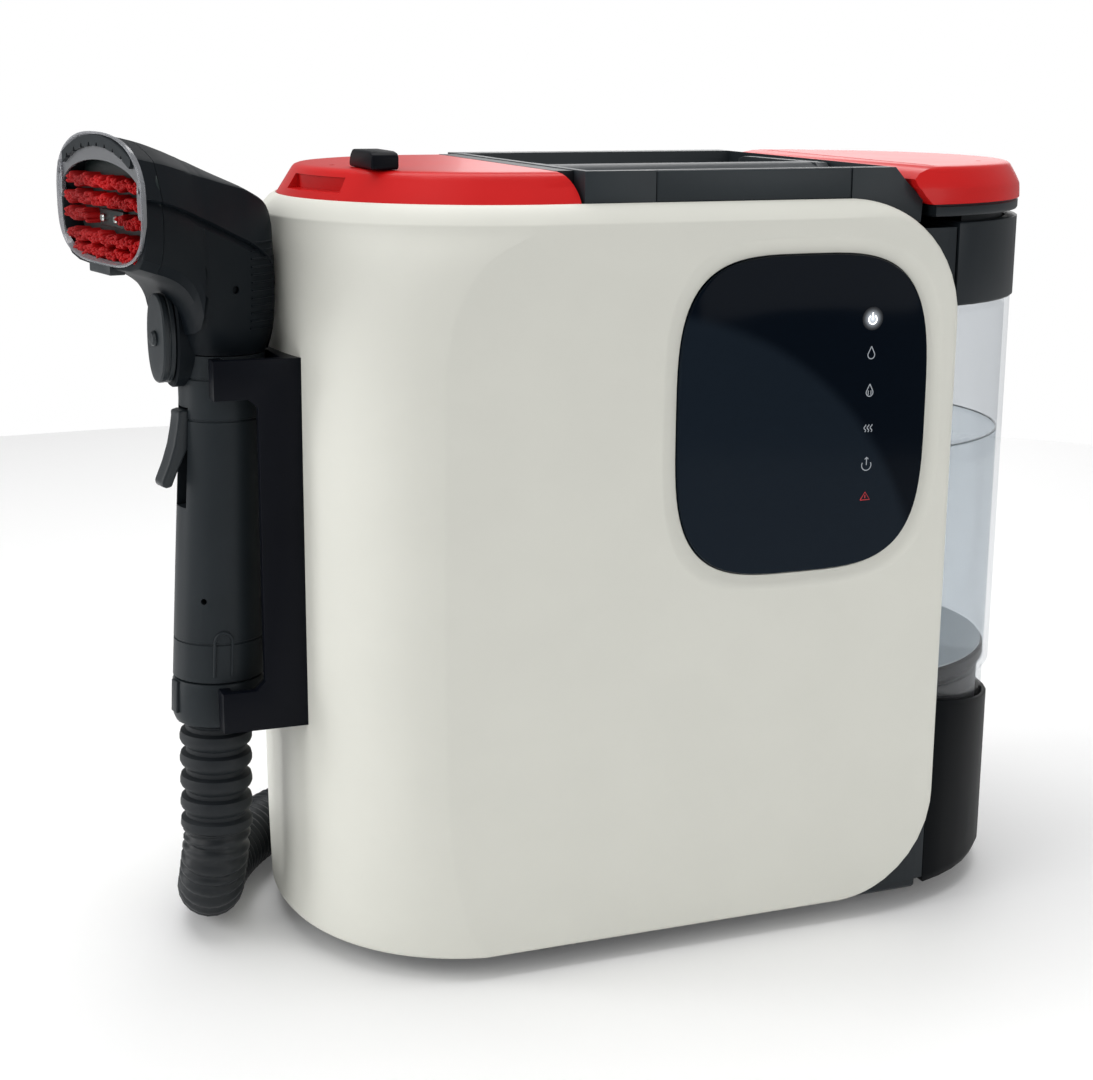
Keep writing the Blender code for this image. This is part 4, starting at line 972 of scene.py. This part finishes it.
def grip():
    profile = []

    def seam(z, radius, depth=0.0005):
        profile.extend([(radius, z - 0.0006), (radius - depth, z - 0.0003), (radius - depth, z + 0.0003),
                        (radius, z + 0.0006)])
    profile.append((0.0190, 0.1290))
    profile.append((0.0202, 0.1296))
    seam(0.1470, 0.0200)
    profile.append((0.0196, 0.1800))
    profile.append((0.0188, 0.2300))
    seam(0.2460, 0.0188)
    profile.append((0.0188, 0.2540))
    seam(0.2640, 0.0190)
    profile.append((0.0190, 0.2740))
    item = loft("tool_grip_fine", [grip_ring(radius, z) for radius, z in profile])
    cut(item, loft("slot", pushed(rectangle(0.0120, 0.0300, -0.0052, 0.0052), 0.2070, 0.2512, "z")))
    # small oval hole low on the grip
    cut(item, turned("hole", tool(0.012, -0.013, 0.1665), FORWARD * 0.75 - SIDE * 0.66,
                     [(0.0014, -0.003), (0.0014, 0.010)], 16))
    finish(item, SOOT, "hand_tool", ["tool_grip"], 32)
    # raised inverted-U ridge on the near side, as (degrees round the grip, height)
    bow = [(-62 - 11 + 11 * math.cos(t), 0.1480 + 0.0045 * math.sin(t))
           for t in [math.pi * i / 8 for i in range(9)]]
    nodes = []
    for degrees, z in [(-62, 0.1325), (-62, 0.1480)] + bow + [(-84, 0.1480), (-84, 0.1325)]:
        t = math.radians(degrees)
        nodes.append(tool(0.0203 * math.cos(t), 0.0203 * math.sin(t), z))
    curve_tube("grip_ridge", nodes, 0.0007, SOOT, "hand_tool")
    levels = [(0.0160, 0.1080), (0.0186, 0.1086), (0.0197, 0.1110), (0.0201, 0.1150), (0.0203, 0.1270),
              (0.0198, 0.1284), (0.0190, 0.1288)]
    finish(loft("tool_cap_fine", [grip_ring(radius, z) for radius, z in levels]), SOOT, "hand_tool",
           ["tool_cap"], 30)
    clip = pushed(rectangle(0.0196, 0.0212, -0.0030, 0.0030), 0.1135, 0.1282, "z")
    finish(bevel(loft("cap_clip", clip), 0.0004, 2), SOOT, "hand_tool")


def curve_tube(name, nodes, radius, material, body, steps=10):
    points, _ = resample(smooth([Vector(p) for p in nodes], 6), max(radius, 0.0008))
    rows = []
    for point, (ahead, across, third) in zip(points, tube_frames(points)):
        rows.append([point + (across * math.cos(t) + third * math.sin(t)) * radius
                     for t in turns(steps)])
    return finish(loft(name, rows), material, body)


HEAD = [  # u, half width, bottom z, top z of the head from back to mouth
    (-0.0205, 0.0120, 0.2745, 0.3190), (-0.0190, 0.0165, 0.2745, 0.3290), (-0.0150, 0.0205, 0.2745, 0.3385),
    (-0.0060, 0.0250, 0.2745, 0.3452), (0.0020, 0.0278, 0.2745, 0.3492), (0.0100, 0.0312, 0.2745, 0.3528),
    (0.0165, 0.0337, 0.2748, 0.3558), (0.0190, 0.0346, 0.2762, 0.3568), (0.0205, 0.0352, 0.2830, 0.3575),
    (0.0218, 0.0358, 0.2905, 0.3581), (0.0240, 0.0369, 0.2970, 0.3590), (0.0275, 0.0387, 0.3020, 0.3605),
    (0.0320, 0.0410, 0.3057, 0.3622), (0.0370, 0.0433, 0.3082, 0.3640), (0.0422, 0.0455, 0.3100, 0.3655)]
COLLAR = (0.0424, 0.0512)    # black part of the nozzle, between the head and its clear lip
GRIP_R = 0.0192
FLANK = 0.0235               # height of the sloping flank under the top's edge
TOP_SHARE = 0.82             # the top's edge, as a share of the half width
TOP_SINK = ((-0.019, 0.0), (-0.003, 0.0020), (0.006, 0.0038), (0.024, 0.0069), (0.042, 0.0082))


def top_sink(u):
    """How far the top's edge lies below its middle line."""
    return float(np.interp(u, [row[0] for row in TOP_SINK], [row[1] for row in TOP_SINK]))


def head_section(u, half, low, high):
    """Arched top with a crisp edge, a sloping flank, a groove, upright sides and a narrowing belly."""
    tall = high - low
    groove = 0.0020 * min(1.0, max(0.0, (u + 0.019) / 0.012))
    drop, edge, sink = min(FLANK, tall * 0.43), half * TOP_SHARE, top_sink(u)
    right = [(edge * share, high - sink * share ** 2.2) for share in (0.0, 0.3, 0.55, 0.75, 0.9, 0.98)]
    right += [(edge + 0.0002, high - sink - 0.0003), (edge + 0.0006, high - sink - 0.0011),
              (half - 0.0003, high - drop + 0.0008), (half, high - drop),
              (half - groove * 0.4, high - drop - 0.0006), (half - groove, high - drop - 0.0012),
              (half - groove * 0.7, high - drop - 0.0024), (half - 0.0004, high - drop - 0.0040)]
    if u > 0.0205:
        belly = ((1.0, 0.44), (0.995, 0.32), (0.97, 0.22), (0.91, 0.12), (0.80, 0.045), (0.62, 0.010),
                 (0.36, 0.0), (0.0, 0.0))
        right += [(half * w, low + tall * z) for w, z in belly]
    else:
        neck = math.sqrt(max(GRIP_R ** 2 - u * u, 0.004 ** 2))
        for share, z in ((0.03, 0.44), (0.12, 0.32), (0.30, 0.21), (0.62, 0.10), (0.88, 0.035), (1.0, 0.0)):
            right.append((half + (neck - half) * share, low + tall * z))
        right += [(neck * 0.5, low), (0.0, low)]
    left = [(-w, z) for w, z in reversed(right[1:-1])]
    return [(w, z) for w, z in right + left]


def head_values(u):
    rows = smooth([Vector(row) for row in HEAD], 6)
    return [float(np.interp(u, [row[0] for row in rows], [row[k] for row in rows])) for k in (1, 2, 3)]


def head():
    loops = []
    for u in list(np.linspace(HEAD[0][0], 0.0160, 22)) + list(np.linspace(0.0168, 0.0260, 24)) \
            + list(np.linspace(0.0270, HEAD[-1][0], 12)):
        loops.append([tool(u, w, z) for w, z in head_section(u, *head_values(u))])
    item = loft("tool_head_fine", loops)
    base = [[tool(u, w * 0.0105, KNOB_Z + z * 0.0215) for w, z in squircle(1, 1, 40, 2.2)]
            for u in (0.0150, 0.0230)]
    base.append([tool(0.0238, w * 0.0098, KNOB_Z + z * 0.0208) for w, z in squircle(1, 1, 40, 2.2)])
    cut(item, loft("knob_base", base), "UNION")
    cut(item, turned("dimple", tool(0.0045, -0.0345, 0.3035), SIDE, [(0.0022, 0), (0.0016, 0.0090)], 20))
    finish(item, HEAD_SKIN, "hand_tool", ["tool_head"], 24)
    # ribs across the back of the near flank, and the catch lever behind
    for number in range(12):
        z = 0.2860 + 0.0033 * number
        ends = []
        for u in (-0.0168, -0.0130, -0.0085, -0.0040):
            section = head_section(u, *head_values(u))
            side = [(w, height) for w, height in section if w > 0.3 * head_values(u)[0]]
            side.sort(key=lambda point: point[1])
            reach = float(np.interp(z, [point[1] for point in side], [point[0] for point in side]))
            ends.append(tool(u, -reach - 0.0001, z))
        curve_tube("head_rib_%02d" % number, ends, 0.0005, HEAD_SKIN, "hand_tool", 6)
    lever = pushed(((-0.0190, 0.3330), (-0.0225, 0.3180), (-0.0252, 0.3040), (-0.0238, 0.3036),
                    (-0.0206, 0.3130), (-0.0198, 0.3250)), -0.0070, 0.0070, "w")
    finish(bevel(loft("head_lever", lever), 0.0006, 2), HEAD_SKIN, "hand_tool")


MOUTH_U, MOUTH_LOW, MOUTH_HIGH, MOUTH_HALF = 0.0530, 0.3138, 0.3684, 0.0499


def mouth_loop(u, inset, steps=72):
    mid, tall = (MOUTH_LOW + MOUTH_HIGH) / 2, (MOUTH_HIGH - MOUTH_LOW) / 2
    line = squircle(MOUTH_HALF - inset, tall - inset, steps, 3.2)
    arched = squircle(MOUTH_HALF - inset, tall - inset, steps, 2.5)
    return [tool(u, w, mid + z) for w, z in [b if b[1] > 0 else a for a, b in zip(line, arched)]]


def nozzle():
    # the collar carries the head's section on, then turns in to a dark throat
    half, low, high = HEAD[-1][1:]
    end = (MOUTH_HALF - 0.0012, MOUTH_LOW - 0.0010, MOUTH_HIGH - 0.0010)

    def collar(share, inset, u):
        values = [a + (b - a) * share for a, b in zip((half, low, high), end)]
        return [tool(u, w, z) for w, z in
                head_section(u, values[0] - inset, values[1] + inset, values[2] - inset)]
    loops = [collar(0, 0, COLLAR[0]), collar(1, 0, COLLAR[1] - 0.0004), collar(1, 0.0004, COLLAR[1]),
             collar(1, 0.0026, COLLAR[1]), collar(0, 0.0030, COLLAR[0] + 0.0022),
             collar(0, 0.0030, COLLAR[0])]
    finish(loft("nozzle_collar", loops, ring=True), HEAD_SKIN, "hand_tool",
           ["nozzle_window"], 24)
    lip = [mouth_loop(COLLAR[1] - 0.0006, 0.0010), mouth_loop(MOUTH_U - 0.0004, 0.0001),
           mouth_loop(MOUTH_U, 0.0005), mouth_loop(MOUTH_U, 0.0011), mouth_loop(COLLAR[1] - 0.0006, 0.0022)]
    finish(loft("nozzle_lip", lip, ring=True), LENS, "hand_tool", (), 40)
    # notched crown along the arched top of the mouth
    edge, sink = end[0] * TOP_SHARE, top_sink(COLLAR[1])
    points, faces = [], []
    count = 96
    for k in range(count + 1):
        share = -1.0 + 2.0 * k / count
        w, z = edge * share, end[2] - sink * abs(share) ** 2.2
        notch = 0.0 if k % 11 < 2 else 0.0016
        for u, depth in ((0.0500, 0.0004), (0.0530, 0.0004), (0.0533, 0.0007), (0.0533, 0.0034 + notch),
                         (0.0500, 0.0036 + notch)):
            points.append(tool(u, w, z - depth))
    for k in range(count):
        for i in range(5):
            j = (i + 1) % 5
            faces.append((k * 5 + i, k * 5 + j, k * 5 + 5 + j, k * 5 + 5 + i))
    faces += [tuple(range(5)), tuple(range(count * 5, count * 5 + 5))]
    finish(mesh_item("nozzle_crown", points, faces), SOOT, "hand_tool", (), 30)
    # smoky crescent across the upper mouth
    top, bottom, steps = [], [], 40
    for k in range(steps + 1):
        t = math.pi * (0.07 + 0.86 * k / steps)
        c, s = math.cos(t), math.sin(t)
        top.append((math.copysign(abs(c) ** 0.8, c) * 0.0478, 0.3411 + s ** 0.8 * 0.0232))
        bottom.append((c * 0.0452, 0.3440 + s * 0.0128))
    rows = pushed(top + list(reversed(bottom)), 0.0505, 0.0515)
    finish(loft("nozzle_crescent", rows), HAZE, "hand_tool", (), 40)
    for w, z in ((-0.0462, 0.3430), (0.0462, 0.3470)):
        lug = pushed([(w + a * 0.0026, z + b * 0.0080) for a, b in squircle(1, 1, 24, 3)], 0.0505, 0.0526)
        item = loft("nozzle_lug", lug)
        cut(item, turned("t", tool(0.049, w, z + 0.0035), FORWARD, [(0.0012, 0), (0.0012, 0.01)], 14))
        item.name = "nozzle_lug_near" if w < 0 else "nozzle_lug_far"
        finish(bevel(item, 0.0004, 2), LENS, "hand_tool")
    clip = pushed(rectangle(-0.0100, 0.0140, 0.3100, 0.3152), 0.0455, 0.0526)
    finish(bevel(loft("nozzle_clip", clip), 0.0006, 2), SATIN, "hand_tool")


BRISTLE_ROWS = (  # height, half length, half length of the gap in its middle
    (0.3476, 0.0375, 0.0), (0.3402, 0.0412, 0.0), (0.3328, 0.0412, 0.0165), (0.3242, 0.0392, 0.0),
    (0.3186, 0.0335, 0.0))
FAN_OUT = 0.09               # the tips spread this share wider than the roots
JET_Z = 0.3326
KNOB_Z = 0.2815


def tuft(root, lean, reach, radius, points, faces):
    """One tuft of bristles: a slightly leaning peg with a round tip."""
    base, sides = len(points), 7
    levels = ((0.0440, 0.0, 1.0), (reach - 0.0016, 0.8, 0.95), (reach - 0.0005, 0.95, 0.72),
              (reach, 1.0, 0.30))
    for u, share, size in levels:
        for q in range(sides):
            t = 2 * math.pi * q / sides
            w = root.x * (1 + FAN_OUT * share) + lean.x * share + radius * size * math.cos(t)
            z = root.y + lean.y * share + radius * size * 1.25 * math.sin(t)
            points.append(tool(u, w, z))
    for level in range(len(levels) - 1):
        for q in range(sides):
            r = (q + 1) % sides
            a = base + level * sides
            faces.append((a + q, a + r, a + sides + r, a + sides + q))
    faces.append(tuple(base + (len(levels) - 1) * sides + q for q in range(sides)))


def brush():
    plate = [mouth_loop(u, 0.0060) for u in (0.0426, 0.0446)]
    finish(loft("nozzle_plate", plate), PLATE, "hand_tool", ["nozzle_brush"])
    points, faces = [], []
    for number, (z, half, gap) in enumerate(BRISTLE_ROWS):
        for layer in (-1, 1):
            count = int(half * 2 / 0.00105)
            for k in range(count):
                w = -half + 2 * half * (k + 0.5) / count
                if abs(w - 0.001) < gap:
                    continue
                wave = 0.0009 * math.sin(w * 430 + number * 1.9) + 0.0004 * math.sin(w * 1150 + number)
                root = Vector((w + random.uniform(-0.0002, 0.0002),
                               z + wave + layer * 0.0009 + random.uniform(-0.0002, 0.0002)))
                lean = Vector((random.uniform(-0.0005, 0.0005), random.uniform(-0.0005, 0.0005)))
                tuft(root, lean, 0.0516 + random.uniform(-0.0007, 0.0007), 0.00088, points, faces)
    mesh = bpy.data.meshes.new("nozzle_bristles")
    mesh.from_pydata([tuple(p) for p in points], [], faces)
    item = bpy.data.objects.new("nozzle_bristles", mesh)
    bpy.context.scene.collection.objects.link(item)
    finish(item, BRISTLE, "hand_tool", (), 60)
    bar = pushed(rectangle(-0.0130, 0.0140, JET_Z - 0.0036, JET_Z + 0.0036), 0.0446, 0.0470)
    finish(bevel(loft("spray_block", bar), 0.0008, 2), PLATE, "hand_tool", ["spray_bar"])
    for number, w in enumerate((-0.007, 0.008), 1):
        finish(turned("spray_jet_%d" % number, tool(0.0468, w, JET_Z), FORWARD,
                      [(0.0017, 0), (0.0017, 0.0012), (0.0012, 0.0018), (0.0005, 0.0018), (0.0005, 0.0012)],
                      20),
               JET, "hand_tool")


def trigger():
    outline = [(0.0125, 0.2490), (0.0195, 0.2503), (0.0222, 0.2496), (0.0220, 0.2474), (0.0226, 0.2420),
               (0.0238, 0.2350), (0.0260, 0.2275), (0.0288, 0.2205), (0.0292, 0.2190), (0.0286, 0.2172),
               (0.0268, 0.2166), (0.0246, 0.2170), (0.0220, 0.2235), (0.0190, 0.2300), (0.0155, 0.2370),
               (0.0135, 0.2420)]
    item = loft("tool_trigger_fine", pushed(outline, -0.0046, 0.0046, "w"))
    finish(bevel(item, 0.0009, 3, 30), SATIN, "trigger", ["tool_trigger"], 32)


def knob():
    loops = []
    for u, w_half, z_half in ((0.0242, 0.0094, 0.0188), (0.0246, 0.0098, 0.0192), (0.0262, 0.0098, 0.0192),
                              (0.0266, 0.0092, 0.0186), (0.0270, 0.0092, 0.0186), (0.0274, 0.0098, 0.0192),
                              (0.0292, 0.0098, 0.0192), (0.0299, 0.0092, 0.0186), (0.0301, 0.0080, 0.0172),
                              (0.0301, 0.0040, 0.0120)):
        loops.append([tool(u, w * w_half, KNOB_Z + z * z_half) for w, z in squircle(1, 1, 48, 2.2)])
    finish(loft("mode_knob_fine", loops), SATIN, "knob", ["mode_knob"], 30)
    finish(turned("knob_pointer", tool(0.0297, 0, KNOB_Z), FORWARD,
                  [(0.0034, 0), (0.0034, 0.0012), (0.0026, 0.0022), (0.0008, 0.0025)], 24),
           SATIN, "knob")


def strain_relief():
    end = Vector(HOSE_ROUTE[0])
    axis = end - STRAIN_TOP
    length = axis.length - 0.0004
    levels = [(0.0135, 0.0), (0.0150, 0.0006)]
    pitch = 0.0104
    at = 0.0024
    while at < length - 0.010:
        levels += [(0.0136, at), (0.0136, at + 0.0020), (0.0158, at + 0.0030), (0.0163, at + 0.0050),
                   (0.0163, at + 0.0068), (0.0157, at + 0.0082)]
        at += pitch
    levels += [(0.0140, at), (0.0140, at + 0.0016), (0.0160, at + 0.0030), (0.0163, length - 0.0010),
               (0.0158, length)]
    finish(turned("strain_relief_fine", STRAIN_TOP, axis, levels, 56), RUBBER, "hand_tool",
           ["strain_relief"], 34)


grip()
head()
nozzle()
brush()
trigger()
knob()
strain_relief()
